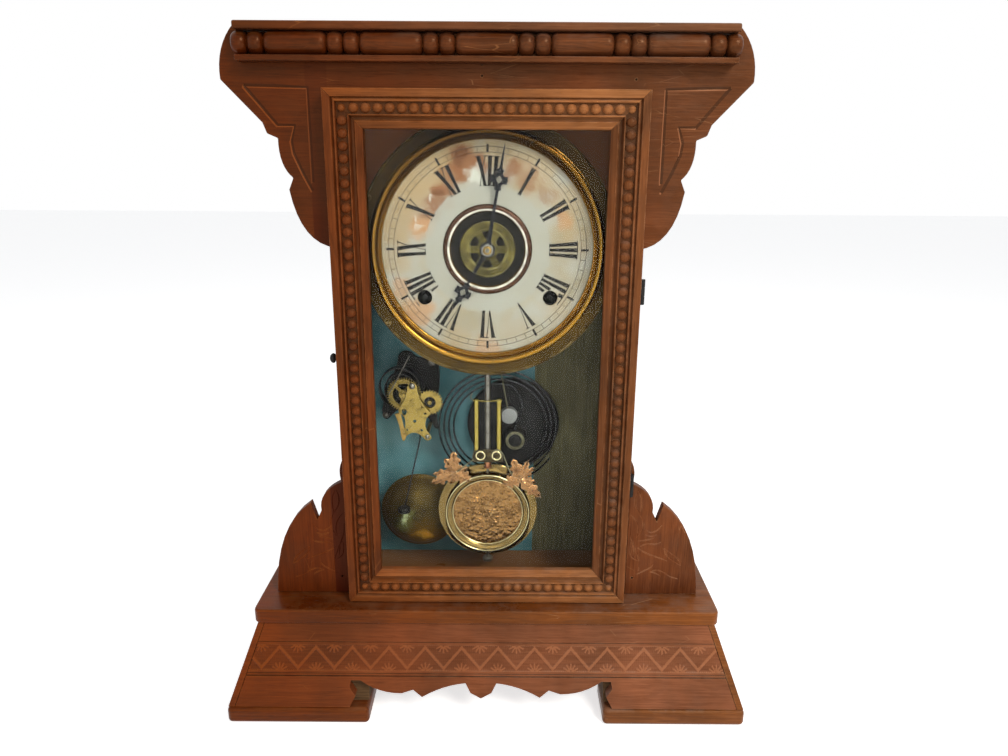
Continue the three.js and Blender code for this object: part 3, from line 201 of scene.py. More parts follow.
def addPiece(name, bm, material, body, stands=(), sharp=35.0, recalc=True, flat=True):
    bmesh.ops.remove_doubles(bm, verts=bm.verts, dist=0.0005)
    if recalc:
        bmesh.ops.recalc_face_normals(bm, faces=bm.faces)
    bmesh.ops.scale(bm, vec=(mm, mm, mm), verts=bm.verts)
    mesh = bpy.data.meshes.new(name)
    bm.to_mesh(mesh)
    bm.free()
    mesh.materials.append(material)
    mesh.shade_smooth()
    mesh.set_sharp_from_angle(angle=math.radians(sharp))
    piece = bpy.data.objects.new(name, mesh)
    scene.collection.objects.link(piece)
    if flat:
        even = piece.modifiers.new("evenShading", "WEIGHTED_NORMAL")
        even.keep_sharp = True
    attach(piece, body)
    if stands:
        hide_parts(*stands)
    return piece


def joined(*parts):
    whole = bmesh.new()
    for part in parts:
        mesh = bpy.data.meshes.new("part")
        part.to_mesh(mesh)
        part.free()
        whole.from_mesh(mesh)
        bpy.data.meshes.remove(mesh)
    return whole


def moved(bm, x=0.0, y=0.0, z=0.0):
    bmesh.ops.translate(bm, vec=(x, y, z), verts=bm.verts)
    return bm


def turnedBy(bm, degrees, axis, centre=(0, 0, 0)):
    turn = Matrix.Rotation(math.radians(degrees), 3, axis)
    bmesh.ops.rotate(bm, cent=centre, matrix=turn, verts=bm.verts)
    return bm


def polar(radius, degrees):
    turn = math.radians(degrees)
    return radius * math.cos(turn), radius * math.sin(turn)


def arc(centre, radius, start, end, steps):
    # points of an arc, its ends among them
    points = []
    for i in range(steps + 1):
        x, z = polar(radius, start + (end - start) * i / steps)
        points.append((centre[0] + x, centre[1] + z))
    return points


def curvePoints(start, control, end, steps):
    # a quadratic curve, without its start
    points = []
    for i in range(1, steps + 1):
        t = i / steps
        points.append(tuple(
            (1 - t) ** 2 * start[k] + 2 * t * (1 - t) * control[k] + t * t * end[k] for k in range(2)
        ))
    return points


def drawn(start, *parts, steps=18):
    # an outline of lines (a point) and curves (a control point and an end)
    points = [start]
    for part in parts:
        if isinstance(part[0], tuple):
            points.extend(curvePoints(points[-1], part[0], part[1], steps))
        else:
            points.append(part)
    return points


def lathe(profile, steps=96):
    # revolved round Y; the profile is pairs of radius and y
    bm = bmesh.new()
    verts = [bm.verts.new((radius, y, 0)) for radius, y in profile]
    edges = [bm.edges.new(pair) for pair in zip(verts, verts[1:])]
    bmesh.ops.spin(
        bm, geom=verts + edges, cent=(0, 0, 0), axis=(0, 1, 0), angle=math.tau, steps=steps,
        use_merge=True, use_duplicate=False,
    )
    bmesh.ops.remove_doubles(bm, verts=bm.verts, dist=0.0005)
    bmesh.ops.recalc_face_normals(bm, faces=bm.faces)
    return bm


def upright(profile, steps):
    # the same round Z; the profile is pairs of radius and z
    return turnedBy(lathe(profile, steps), 90, "X")


def tinyRing(radius, thick, y, sides, steps):
    # a ring of round wire, facing the front
    return lathe([(radius + thick * math.cos(a), y + thick * math.sin(a)) for a in
                  (math.tau * i / sides for i in range(sides + 1))], steps)


def board(points, yFront, yBack, bevel=0.6, segments=2):
    # a flat board: outline in X and Z, its long edges softened
    bm = bmesh.new()
    face = bm.faces.new([bm.verts.new((x, yFront, z)) for x, z in points])
    back = bmesh.ops.extrude_face_region(bm, geom=[face])["geom"]
    backVerts = [item for item in back if isinstance(item, bmesh.types.BMVert)]
    bmesh.ops.translate(bm, vec=(0, yBack - yFront, 0), verts=backVerts)
    bmesh.ops.recalc_face_normals(bm, faces=bm.faces)
    if bevel:
        softenEdges(bm, bevel, segments, 40)
    return bm


def softenEdges(bm, width, segments, overAngle):
    edges = [e for e in bm.edges if len(e.link_faces) == 2 and e.calc_face_angle(0) > math.radians(overAngle)]
    bmesh.ops.bevel(
        bm, geom=edges, offset=width, offset_type="OFFSET", segments=segments, profile=0.5,
        affect="EDGES", clamp_overlap=True, material=-1,
    )
    return bm


def block(low, high, bevel=0.6, segments=2):
    bm = bmesh.new()
    bmesh.ops.create_cube(bm, size=1)
    size = [b - a for a, b in zip(low, high)]
    bmesh.ops.scale(bm, vec=size, verts=bm.verts)
    moved(bm, *[(a + b) / 2 for a, b in zip(low, high)])
    if bevel:
        softenEdges(bm, bevel, segments, 40)
    return bm


def nodeCopy(node, bevel=0.6, segments=2, overAngle=40.0):
    # a CAD node's own shape with softened edges
    bm = bmesh.new()
    bm.from_mesh(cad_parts[node].data)
    bmesh.ops.scale(bm, vec=(1 / mm, 1 / mm, 1 / mm), verts=bm.verts)
    bmesh.ops.remove_doubles(bm, verts=bm.verts, dist=0.01)
    bmesh.ops.dissolve_limit(bm, angle_limit=math.radians(1), verts=bm.verts, edges=bm.edges)
    return softenEdges(bm, bevel, segments, overAngle)


def fromCurve(data):
    holder = bpy.data.objects.new("outline", data)
    scene.collection.objects.link(holder)
    bpy.context.view_layer.update()
    mesh = bpy.data.meshes.new_from_object(holder.evaluated_get(bpy.context.evaluated_depsgraph_get()))
    bm = bmesh.new()
    bm.from_mesh(mesh)
    bpy.data.objects.remove(holder)
    bpy.data.curves.remove(data)
    bpy.data.meshes.remove(mesh)
    bmesh.ops.remove_doubles(bm, verts=bm.verts, dist=0.0005)
    return bm


def sheetOf(loops, thickness, bevel=0.0, y=0.0):
    # flat sheet with holes: the first loop is its edge; y is its middle plane
    data = bpy.data.curves.new("sheet", "CURVE")
    data.dimensions = "2D"
    data.fill_mode = "BOTH"
    data.extrude = max(thickness / 2 - bevel, 0.0)
    data.bevel_depth = bevel
    data.bevel_resolution = 1
    data.offset = -bevel
    for loop in loops:
        spline = data.splines.new("POLY")
        spline.points.add(len(loop) - 1)
        for point, (x, z) in zip(spline.points, loop):
            point.co = (x, z, 0, 1)
        spline.use_cyclic_u = True
    bm = fromCurve(data)
    turnedBy(bm, 90, "X")
    return moved(bm, y=y)


def wire(points, radius, sides=8, smooth=False, radii=None):
    # a round wire through points in X, Y and Z
    data = bpy.data.curves.new("wire", "CURVE")
    data.dimensions = "3D"
    data.bevel_depth = radius
    data.bevel_resolution = max(sides // 2 - 2, 0)
    data.use_fill_caps = True
    data.resolution_u = 8
    scales = radii or [1.0] * len(points)
    if smooth:
        spline = data.splines.new("BEZIER")
        spline.bezier_points.add(len(points) - 1)
        for point, place, scale in zip(spline.bezier_points, points, scales):
            point.co = place
            point.radius = scale
            point.handle_left_type = point.handle_right_type = "AUTO"
    else:
        spline = data.splines.new("POLY")
        spline.points.add(len(points) - 1)
        for point, place, scale in zip(spline.points, points, scales):
            point.co = (*place, 1)
            point.radius = scale
    return fromCurve(data)


def rod(start, end, radius, sides=24, bevel=0.0):
    bm = bmesh.new()
    line = Vector(end) - Vector(start)
    bmesh.ops.create_cone(
        bm, cap_ends=True, segments=sides, radius1=radius, radius2=radius, depth=line.length,
    )
    if bevel:
        softenEdges(bm, bevel, 2, 60)
    turn = Vector((0, 0, 1)).rotation_difference(line.normalized()).to_matrix()
    bmesh.ops.rotate(bm, cent=(0, 0, 0), matrix=turn, verts=bm.verts)
    return moved(bm, *((Vector(start) + Vector(end)) / 2))


def setDirt(bm, value):
    layer = bm.loops.layers.float.get("dirt") or bm.loops.layers.float.new("dirt")
    for face in bm.faces:
        for loop in face.loops:
            loop[layer] = value(loop.vert.co) if callable(value) else value
    return bm


def carved(bm, cutter, dirt=1.0):
    # bm less cutter; the cut faces carry the shade-and-dirt value: positive darkens them, negative makes them pale
    holders = []
    setDirt(cutter, dirt)
    if "dirt" not in bm.loops.layers.float:
        setDirt(bm, 0.0)
    for part in (bm, cutter):
        bmesh.ops.recalc_face_normals(part, faces=part.faces)
        mesh = bpy.data.meshes.new("carved")
        part.to_mesh(mesh)
        part.free()
        holder = bpy.data.objects.new("carved", mesh)
        scene.collection.objects.link(holder)
        holders.append(holder)
    cut = holders[0].modifiers.new("cut", "BOOLEAN")
    cut.operation = "DIFFERENCE"
    cut.solver = "EXACT"
    cut.use_self = True
    cut.object = holders[1]
    bpy.context.view_layer.update()
    mesh = bpy.data.meshes.new_from_object(holders[0].evaluated_get(bpy.context.evaluated_depsgraph_get()))
    result = bmesh.new()
    result.from_mesh(mesh)
    bpy.data.meshes.remove(mesh)
    for holder in holders:
        used = holder.data
        bpy.data.objects.remove(holder)
        bpy.data.meshes.remove(used)
    return result


def screwHead(radius, height, slotDegrees, slotWidth=0.7):
    # a round-headed screw seen from the front, its slot cut across
    head = lathe([(0, -height), (radius * 0.6, -height * 0.9), (radius * 0.92, -height * 0.5), (radius, 0), (0, 0)],
                 24)
    slot = block((-radius * 1.2, -height * 1.5, -slotWidth / 2), (radius * 1.2, -height * 0.45, slotWidth / 2), 0)
    return carved(head, turnedBy(slot, slotDegrees, "Y"))


# ---- shader helpers and groups


def tone(red, green, blue):
    # a screen colour from 0 to 255 as a linear one
    return tuple(
        c / 255 / 12.92 if c <= 10 else ((c / 255 + 0.055) / 1.055) ** 2.4 for c in (red, green, blue)
    ) + (1.0,)


def ramp(tree, value, low, high, start=0.0, end=1.0):
    node = put(tree, "MapRange", {"Value": value, 1: low, 2: high, 3: start, 4: end})
    node.interpolation_type = "SMOOTHSTEP"
    return node.outputs[0]


def blend(tree, factor, first, second, mode="MIX"):
    node = put(tree, "Mix", data_type="RGBA", blend_type=mode)
    for socket, value in ((node.inputs[0], factor), (node.inputs[6], first), (node.inputs[7], second)):
        if isinstance(value, bpy.types.NodeSocket):
            tree.links.new(value, socket)
        else:
            socket.default_value = value
    return node.outputs[2]


def noiseAt(tree, vector, scale, detail=3.0, rough=0.55, distortion=0.0):
    return put(tree, "TexNoise", {
        "Vector": vector, "Scale": scale, "Detail": detail, "Roughness": rough, "Distortion": distortion,
    }).outputs[0]


def newGroup(name, inputs, outputs):
    group = bpy.data.node_groups.new(name, "ShaderNodeTree")
    for label, kind, value in inputs:
        socket = group.interface.new_socket(label, in_out="INPUT", socket_type="NodeSocket" + kind)
        if value is not None:
            socket.default_value = value
    for label, kind in outputs:
        group.interface.new_socket(label, in_out="OUTPUT", socket_type="NodeSocket" + kind)
    start = group.nodes.new("NodeGroupInput")
    end = group.nodes.new("NodeGroupOutput")
    return group, start.outputs, end.inputs


def stretched(tree, vector, across, along):
    node = put(tree, "Mapping", {"Vector": vector})
    node.inputs["Scale"].default_value = (across, across, along)
    return node.outputs[0]


def grainGroup():
    # wood grain along Z: figure, fibres, pores and blotches
    group, given, out = newGroup(
        "grain",
        [("Vector", "Vector", None), ("Dark", "Color", None), ("Middle", "Color", None),
         ("Light", "Color", None), ("Size", "Float", 1.0), ("Contrast", "Float", 1.0)],
        [("Color", "Color"), ("Height", "Float"), ("Gloss", "Float")],
    )
    grow = put(group, "VectorMath", {0: given["Vector"], "Scale": given["Size"]}, operation="SCALE").outputs[0]
    bend = noiseAt(group, stretched(group, grow, 9, 3), 1.0, 2.0)
    figureAt = put(group, "VectorMath", {0: stretched(group, grow, 60, 3.2)}, operation="ADD")
    shift = times(group, bend, 5.0)
    group.links.new(put(group, "CombineXYZ", {0: shift, 1: shift}).outputs[0], figureAt.inputs[1])
    figure = noiseAt(group, figureAt.outputs[0], 1.6, 3.0, 0.6, 0.4)
    fibre = noiseAt(group, stretched(group, grow, 900, 22), 1.0, 2.0, 0.65)
    pores = ramp(group, noiseAt(group, stretched(group, grow, 1700, 75), 1.0, 1.0), 0.6, 0.7)
    rings = ramp(group, math2(group, "PINGPONG", times(group, figure, 9.0), 1.0), 0.15, 0.95)
    blotch = noiseAt(group, grow, 16.0, 3.0)
    tint = blend(group, ramp(group, rings, 0.0, 1.0), given["Middle"], given["Dark"])
    tint = blend(group, ramp(group, fibre, 0.42, 0.75), tint, given["Light"])
    tint = blend(group, times(group, ramp(group, fibre, 0.52, 0.3), 0.55), tint, given["Dark"])
    plain = blend(group, 0.5, given["Middle"], given["Light"])
    tint = blend(group, given["Contrast"], plain, tint)
    tint = blend(group, times(group, pores, 0.5), tint, given["Dark"])
    shade = ramp(group, blotch, 0.3, 0.72, 0.68, 1.2)
    tint = blend(group, 1.0, tint, put(group, "CombineColor", {0: shade, 1: shade, 2: shade}).outputs[0], "MULTIPLY")
    height = math2(group, "SUBTRACT", times(group, fibre, 0.6), times(group, pores, 0.9))
    group.links.new(tint, out["Color"])
    group.links.new(height, out["Height"])
    group.links.new(ramp(group, blotch, 0.3, 0.7), out["Gloss"])
    return group


def wearGroup():
    # rubbed edges, scratches and dents
    group, given, out = newGroup(
        "wear",
        [("Vector", "Vector", None), ("Width", "Float", 0.0012), ("Amount", "Float", 1.0)],
        [("Edge", "Float"), ("Scratch", "Float")],
    )
    around = put(group, "NewGeometry").outputs["Normal"]
    soft = put(group, "Bevel", {"Radius": given["Width"]}, samples=4).outputs[0]
    same = put(group, "VectorMath", {0: soft, 1: around}, operation="DOT_PRODUCT").outputs["Value"]
    edge = ramp(group, same, 0.99, 0.8)
    patchy = ramp(group, noiseAt(group, given["Vector"], 130.0, 4.0), 0.38, 0.62)
    edge = times(group, times(group, edge, patchy), given["Amount"], True)
    lines = put(group, "TexVoronoi", {
        "Vector": stretched(group, given["Vector"], 45, 6), "Scale": 3.0,
    }, feature="DISTANCE_TO_EDGE").outputs["Distance"]
    rare = ramp(group, noiseAt(group, given["Vector"], 24.0, 2.0), 0.56, 0.66)
    scratch = times(group, times(group, ramp(group, lines, 0.012, 0.0), rare), given["Amount"])
    group.links.new(edge, out["Edge"])
    group.links.new(scratch, out["Scratch"])
    return group


def dustGroup():
    # grey dust on faces that look up, and in patches
    group, given, out = newGroup(
        "dust",
        [("Vector", "Vector", None), ("Amount", "Float", 0.3)],
        [("Mask", "Float")],
    )
    up = put(group, "SeparateXYZ", {0: put(group, "NewGeometry").outputs["Normal"]}).outputs[2]
    patches = ramp(group, noiseAt(group, given["Vector"], 60.0, 5.0, 0.65), 0.35, 0.75)
    mask = times(group, ramp(group, up, 0.2, 0.95, 0.12, 1.0), patches)
    group.links.new(times(group, mask, given["Amount"], True), out["Mask"])
    return group


def patinaGroup():
    # old metal: bright, tarnished and dark parts, with fine scratches
    group, given, out = newGroup(
        "patina",
        [("Vector", "Vector", None), ("Bright", "Color", None), ("Dull", "Color", None),
         ("Dark", "Color", None), ("Tarnish", "Float", 0.5), ("Size", "Float", 1.0)],
        [("Color", "Color"), ("Height", "Float"), ("Dullness", "Float")],
    )
    grow = put(group, "VectorMath", {0: given["Vector"], "Scale": given["Size"]}, operation="SCALE").outputs[0]
    cloud = noiseAt(group, grow, 70.0, 5.0, 0.62)
    speck = noiseAt(group, grow, 420.0, 4.0, 0.6)
    level = math2(group, "ADD", times(group, cloud, 0.65), times(group, speck, 0.35))
    limit = math2(group, "SUBTRACT", 0.85, times(group, given["Tarnish"], 0.6))
    lift = math2(group, "SUBTRACT", level, limit)
    tarnish = ramp(group, lift, -0.12, 0.08)
    tint = blend(group, tarnish, given["Bright"], given["Dull"])
    spots = ramp(group, times(group, ramp(group, speck, 0.55, 0.75), tarnish), 0.1, 0.9)
    tint = blend(group, spots, tint, given["Dark"])
    lines = noiseAt(group, stretched(group, grow, 2400, 130), 1.0, 2.0)
    group.links.new(tint, out["Color"])
    group.links.new(math2(group, "ADD", times(group, lines, 0.5), times(group, speck, 0.6)),
                    out["Height"])
    group.links.new(math2(group, "MAXIMUM", tarnish, spots), out["Dullness"])
    return group


grain = grainGroup()
wear = wearGroup()
dust = dustGroup()
patina = patinaGroup()


def newMaterial(name, turn=(0, 0, 0), centre=(0, 0, 0)):
    material = bpy.data.materials.new(name)
    material.use_nodes = True
    tree = material.node_tree
    place = put(tree, "Mapping", {"Vector": put(tree, "TexCoord").outputs["Object"]}, vector_type="TEXTURE")
    place.inputs["Rotation"].default_value = [math.radians(a) for a in turn]
    place.inputs["Location"].default_value = [c * mm for c in centre]
    return material, tree, tree.nodes["Principled BSDF"], place.outputs[0]


def fillGroup(tree, group, inputs):
    node = tree.nodes.new("ShaderNodeGroup")
    node.node_tree = group
    for key, value in inputs.items():
        if isinstance(value, bpy.types.NodeSocket):
            tree.links.new(value, node.inputs[key])
        else:
            node.inputs[key].default_value = value
    return node


def bumpFrom(tree, shader, height, distance, strength=0.5):
    node = put(tree, "Bump", {"Height": height, "Distance": distance * mm, "Strength": strength})
    tree.links.new(node.outputs[0], shader.inputs["Normal"])


rubbedWood, woodDust, metalDust = (176, 128, 86), (150, 136, 120), (128, 118, 100)
# painted light: the wood deeper on the left and paler and bluer on the right, as if lit from the right
sideLight = {"span": (-0.19, 0.12), "deep": (0.6, 0.33, 0.11, 1), "pale": (1.0, 1.02, 1.12, 1)}  # span in metres
# where the painted shadow of the door falls, left of the door
doorShadowPlace = {"left": (-0.1214, -0.1206), "right": (-0.106, -0.107), "height": (0.43, 0.36)}  # in metres
outsideTint, warmShine = (1.6, 0.74, 0.5, 1), (1.0, 0.58, 0.32, 1)
# painted light and shade by height: lighter below, darker above
litBelow, shadedAbove = (1.15, 0.98, 0.75, 1), (0.26, 0.19, 0.12, 1)
grainTurns = {"Z": (0, 0, 0), "X": (0, 90, 0), "Y": (90, 0, 0)}


def partsAt(tree):
    # the three parts of the place, in the frame
    return put(tree, "SeparateXYZ", {0: put(tree, "TexCoord").outputs["Object"]}).outputs


def upperTone(tree, tint, height, colour):
    # another colour above a height
    z = partsAt(tree)[2]
    return blend(tree, ramp(tree, z, (height - 6) * mm, (height + 6) * mm), tint, tone(*colour))


def sideTone(tree):
    # deeper, redder colour towards the left and paler, bluer towards the right: painted light falling from the right
    x = partsAt(tree)[0]
    return blend(tree, ramp(tree, x, *sideLight["span"]), sideLight["deep"], sideLight["pale"])


def insideMask(tree):
    # the part of the shelf inside the case, where its colour is painted shade
    at = partsAt(tree)
    behind = ramp(tree, at[1], 0.0, 0.004)
    between = ramp(tree, math2(tree, "ABSOLUTE", at[0]), (caseHalf - 1) * mm, (caseHalf - 4) * mm)
    return times(tree, behind, between)


def stripMask(tree):
    # painted shadow of the door on the board and wings beside its left edge, stronger lower down
    at = partsAt(tree)
    beside = times(tree, ramp(tree, at[0], *doorShadowPlace["left"]), ramp(tree, at[0], *doorShadowPlace["right"]))
    return times(tree, beside, ramp(tree, at[2], *doorShadowPlace["height"], 0.3, 0.9))


def wood(name, values):
    material, tree, shader, place = newMaterial(name, grainTurns[values.get("along", "Z")])
    link = tree.links.new
    body = fillGroup(tree, grain, {
        "Vector": place, "Dark": tone(*values["dark"]), "Middle": tone(*values["middle"]),
        "Light": tone(*values["light"]), "Size": values.get("size", 1.0), "Contrast": values.get("contrast", 0.5),
    })
    rubbed = fillGroup(tree, wear, {"Vector": place, "Width": 0.0014, "Amount": values.get("wear", 0.6)})
    dusty = fillGroup(tree, dust, {"Vector": place, "Amount": values.get("dust", 0.25)})
    tint = blend(tree, rubbed.outputs["Edge"], body.outputs["Color"], tone(*values.get("rubbed", rubbedWood)))
    # dirt: negative values paint the pale raised colour, a painted highlight on the band's relief and along the
    # border grooves, and pale wing grooves; positive values darken hollows as painted shade
    hollow = put(tree, "Attribute", attribute_name="dirt").outputs["Fac"]
    raised = times(tree, hollow, -1.0, True)
    tint = blend(tree, raised, tint, tone(*values.get("raised", (168, 108, 70))))
    hollow = times(tree, hollow, values.get("hollow", 0.75), True)
    tint = blend(tree, hollow, tint, tone(*values.get("grime", (38, 18, 8))))
    scuffed = times(tree, rubbed.outputs["Scratch"], 0.6)
    tint = blend(tree, scuffed, tint, tone(*values.get("rubbed", rubbedWood)))
    tint = blend(tree, dusty.outputs["Mask"], tint, tone(*woodDust))
    # painted side light, deeper on the left and paler on the right
    if values.get("faded", True):
        tint = blend(tree, 1.0, tint, sideTone(tree), "MULTIPLY")
    # above the height: brown wood, made lighter as painted light
    if "upper" in values:
        y = partsAt(tree)[1]
        inside = upperTone(tree, tint, *values["upper"])
        inside = blend(tree, 0.25, inside, blend(tree, 1.0, inside, tint, "OVERLAY"))
        outside = blend(tree, 1.0, tint, outsideTint, "MULTIPLY")
        tint = blend(tree, ramp(tree, y, (backFront + 1) * mm, (backFront + 2) * mm), inside, outside)
    # the strip colour is a painted shadow of the door
    if "strip" in values:
        tint = blend(tree, stripMask(tree), tint, tone(*values["strip"]))
    # painted shade: the shelf inside the case gets its own duller colour
    if "inside" in values:
        tint = blend(tree, insideMask(tree), tint, tone(*values["inside"]))
    link(tint, shader.inputs["Base Color"])
    low, high = values.get("rough", (0.36, 0.55))
    rough = ramp(tree, body.outputs["Gloss"], 0.0, 1.0, low, high)
    rough = math2(tree, "ADD", rough, times(tree, dusty.outputs["Mask"], 0.4), True)
    link(rough, shader.inputs["Roughness"])
    shader.inputs["Specular IOR Level"].default_value = values.get("shine", 0.22)
    shader.inputs["Specular Tint"].default_value = warmShine
    bumpFrom(tree, shader, body.outputs["Height"], 0.12, 0.45)
    return material


def metal(name, values, centre=(0, 0, 0), turn=(0, 0, 0)):
    material, tree, shader, place = newMaterial(name, turn, centre)
    link = tree.links.new
    body = fillGroup(tree, patina, {
        "Vector": place, "Bright": tone(*values["bright"]), "Dull": tone(*values["dull"]),
        "Dark": tone(*values["dark"]), "Tarnish": values.get("tarnish", 0.5), "Size": values.get("size", 1.0),
    })
    rubbed = fillGroup(tree, wear, {"Vector": place, "Width": 0.0006, "Amount": values.get("wear", 0.6)})
    dusty = fillGroup(tree, dust, {"Vector": place, "Amount": values.get("dust", 0.15)})
    tint = blend(tree, rubbed.outputs["Edge"], body.outputs["Color"], tone(*values.get("rubbed", values["bright"])))
    tint = blend(tree, dusty.outputs["Mask"], tint, tone(*metalDust))
    # painted shade towards the top and painted light towards the bottom
    if "aged" in values:
        low, high = (level * mm for level in values["aged"])
        z = partsAt(tree)[2]
        shade = blend(tree, ramp(tree, z, low, high), litBelow, shadedAbove)
        tint = blend(tree, 1.0, tint, shade, "MULTIPLY")
    # marks on the bell: painted highlights and a painted dark hole
    if "marks" in values:
        flat = put(tree, "VectorMath", {0: place, 1: (1, 0, 1)}, operation="MULTIPLY").outputs[0]
        tint = spots(tree, flat, tint, values["marks"], 0.2)
    link(tint, shader.inputs["Base Color"])
    shader.inputs["Specular IOR Level"].default_value = 0.2
    low, high = values.get("rough", (0.3, 0.55))
    rough = ramp(tree, body.outputs["Dullness"], 0.0, 1.0, low, high)
    link(math2(tree, "ADD", rough, times(tree, dusty.outputs["Mask"], 0.4), True), shader.inputs["Roughness"])
    metallic = values.get("metallic", 1.0)
    covered = math2(tree, "MAXIMUM", dusty.outputs["Mask"], times(tree, body.outputs["Dullness"], 0.35))
    link(ramp(tree, covered, 0.0, 1.0, metallic, metallic * 0.3), shader.inputs["Metallic"])
    bumpFrom(tree, shader, body.outputs["Height"], 0.04, values.get("bump", 0.12))
    return material


# ---- materials

# the brown wood above this height is written lighter, as painted light inside the top of the case
upperBrownAndLight = (372, (186, 114, 72))  # the redder wood and paper above this height
woods = {
    "topWood": {"along": "X", "dark": (80, 44, 24), "middle": (106, 62, 36), "light": (126, 80, 50), "dust": 0.3,
                "wear": 0.8},
    "corniceWood": {"along": "X", "dark": (52, 23, 9), "middle": (94, 48, 21), "light": (120, 66, 32),
                    "rough": (0.28, 0.42), "wear": 0.5, "rubbed": (190, 130, 78)},
    "caseWood": {"along": "X", "dark": (74, 35, 14), "middle": (97, 50, 23), "light": (112, 63, 33), "wear": 0.7,
                 "strip": (58, 12, 3)},
    "wingWood": {"along": "Z", "dark": (76, 34, 14), "middle": (104, 53, 24), "light": (120, 66, 34), "wear": 0.7,
                 "strip": (58, 12, 3), "raised": (150, 88, 50)},
    "frameWoodX": {"along": "X", "dark": (100, 56, 26), "middle": (138, 84, 42), "light": (160, 104, 60),
                   "rubbed": (196, 136, 84)},
    "frameWoodZ": {"along": "Z", "dark": (72, 36, 15), "middle": (106, 58, 27), "light": (128, 76, 40),
                   "rubbed": (186, 132, 88)},
    "shelfWood": {"along": "X", "dark": (84, 40, 10), "middle": (118, 62, 20), "light": (142, 82, 36),
                  "rough": (0.25, 0.4), "wear": 1.0, "rubbed": (204, 156, 110), "inside": (100, 66, 40)},
    "baseWood": {"along": "X", "dark": (98, 52, 29), "middle": (126, 73, 45), "light": (142, 86, 55),
                 "contrast": 0.45, "wear": 0.4},
    "footWood": {"along": "X", "dark": (76, 36, 10), "middle": (114, 62, 26), "light": (138, 84, 44),
                 "rough": (0.26, 0.45), "wear": 0.8},
    "roughWood": {"faded": False, "along": "X", "dark": (40, 26, 16), "middle": (74, 54, 36), "light": (110, 84, 56),
                  "rough": (0.75, 0.9), "wear": 0.2, "dust": 0.6},
    "backWood": {"faded": False, "along": "Z", "dark": (56, 56, 40), "middle": (88, 87, 66), "light": (110, 105, 78),
                 "rough": (0.7, 0.9), "wear": 0.2, "dust": 0.4, "upper": upperBrownAndLight},
    "sideWood": {"faded": False, "along": "Z", "dark": (48, 28, 16), "middle": (86, 52, 32), "light": (112, 74, 48),
                 "rough": (0.5, 0.7), "wear": 0.4},
}
woodOf = {name: wood(name, values) for name, values in woods.items()}
print("wood materials are made")


# ---- the case


def strokes(lines, y, radius, sides=6, mirror=False):
    # tapered grooves; each line is a list of points in X and Z
    parts = []
    for line in lines:
        count = len(line) * 4
        path = []
        for i in range(count + 1):
            at = i / count * (len(line) - 1)
            k = min(int(at), len(line) - 2)
            path.append(splineAt(line, k, at - k))
        radii = [0.35 + 0.65 * math.sin(math.pi * (0.08 + 0.84 * i / count)) for i in range(count + 1)]
        parts.append(wire([(-x if mirror else x, y, z) for x, z in path], radius, sides, radii=radii))
    return joined(*parts)


def splineAt(line, k, t):
    # Catmull-Rom between points k and k + 1
    before, start = line[max(k - 1, 0)], line[k]
    end, after = line[k + 1], line[min(k + 2, len(line) - 1)]
    return tuple(
        0.5 * (2 * start[i] + (end[i] - before[i]) * t
               + (2 * before[i] - 5 * start[i] + 4 * end[i] - after[i]) * t * t
               + (3 * start[i] - before[i] - 3 * end[i] + after[i]) * t ** 3)
        for i in range(2)
    )


def holes(places, y, radius, depth=3.0):
    return joined(*[rod((x, y - 1, z), (x, y + depth, z), radius, 10) for x, z in places])


def makeCase():
    addPiece("corniceBoard", nodeCopy("cornice_board", 1.3, 3), woodOf["topWood"], "case",
             ["cornice_board"])
    addPiece("corniceFillet", nodeCopy("cornice_fillet", 0.8, 2), woodOf["corniceWood"], "case",
             ["cornice_fillet"])
    for side in ("left", "right"):
        addPiece(side + "CaseSide", nodeCopy("case_%s_side" % side, 0.5), woodOf["sideWood"], "case",
                 ["case_%s_side" % side])
    face = boardFace
    border = [
        [(162, 473), (141, 472.6), (119.5, 472), (119.5, 441), (119.5, 411)],
        [(162, 473), (151, 460), (141, 448), (129.5, 448), (132.5, 438), (131.5, 430), (126, 417), (120, 405)],
    ]
    cutters = []
    for mirror in (False, True):
        for line in border:
            cutters.append(wire([(-x if mirror else x, face, z) for x, z in line], 1.1, 4))
    cutters.append(holes([(-3.3, 486.5), (-3.3, 479.7), (99, 478), (107, 402), (-107, 397)], face, 0.8))
    # painted highlight along the lower outer edge of each border groove; the grooves and holes are darkened as
    # painted shade
    edges = [wire([((-x if mirror else x) - 0.9, face, z - 1.0) for x, z in line], 0.6, 4)
             for mirror in (False, True) for line in border]
    board = carved(nodeCopy("front_board", 0.7), joined(*edges), -0.6)
    board = carved(board, joined(*cutters), 0.8)
    addPiece("frontBoard", board, woodOf["caseWood"], "case", ["front_board"])
    makeWings(face)
    addPiece("backboard", nodeCopy("backboard", 0.4), woodOf["backWood"], "case", ["backboard"])


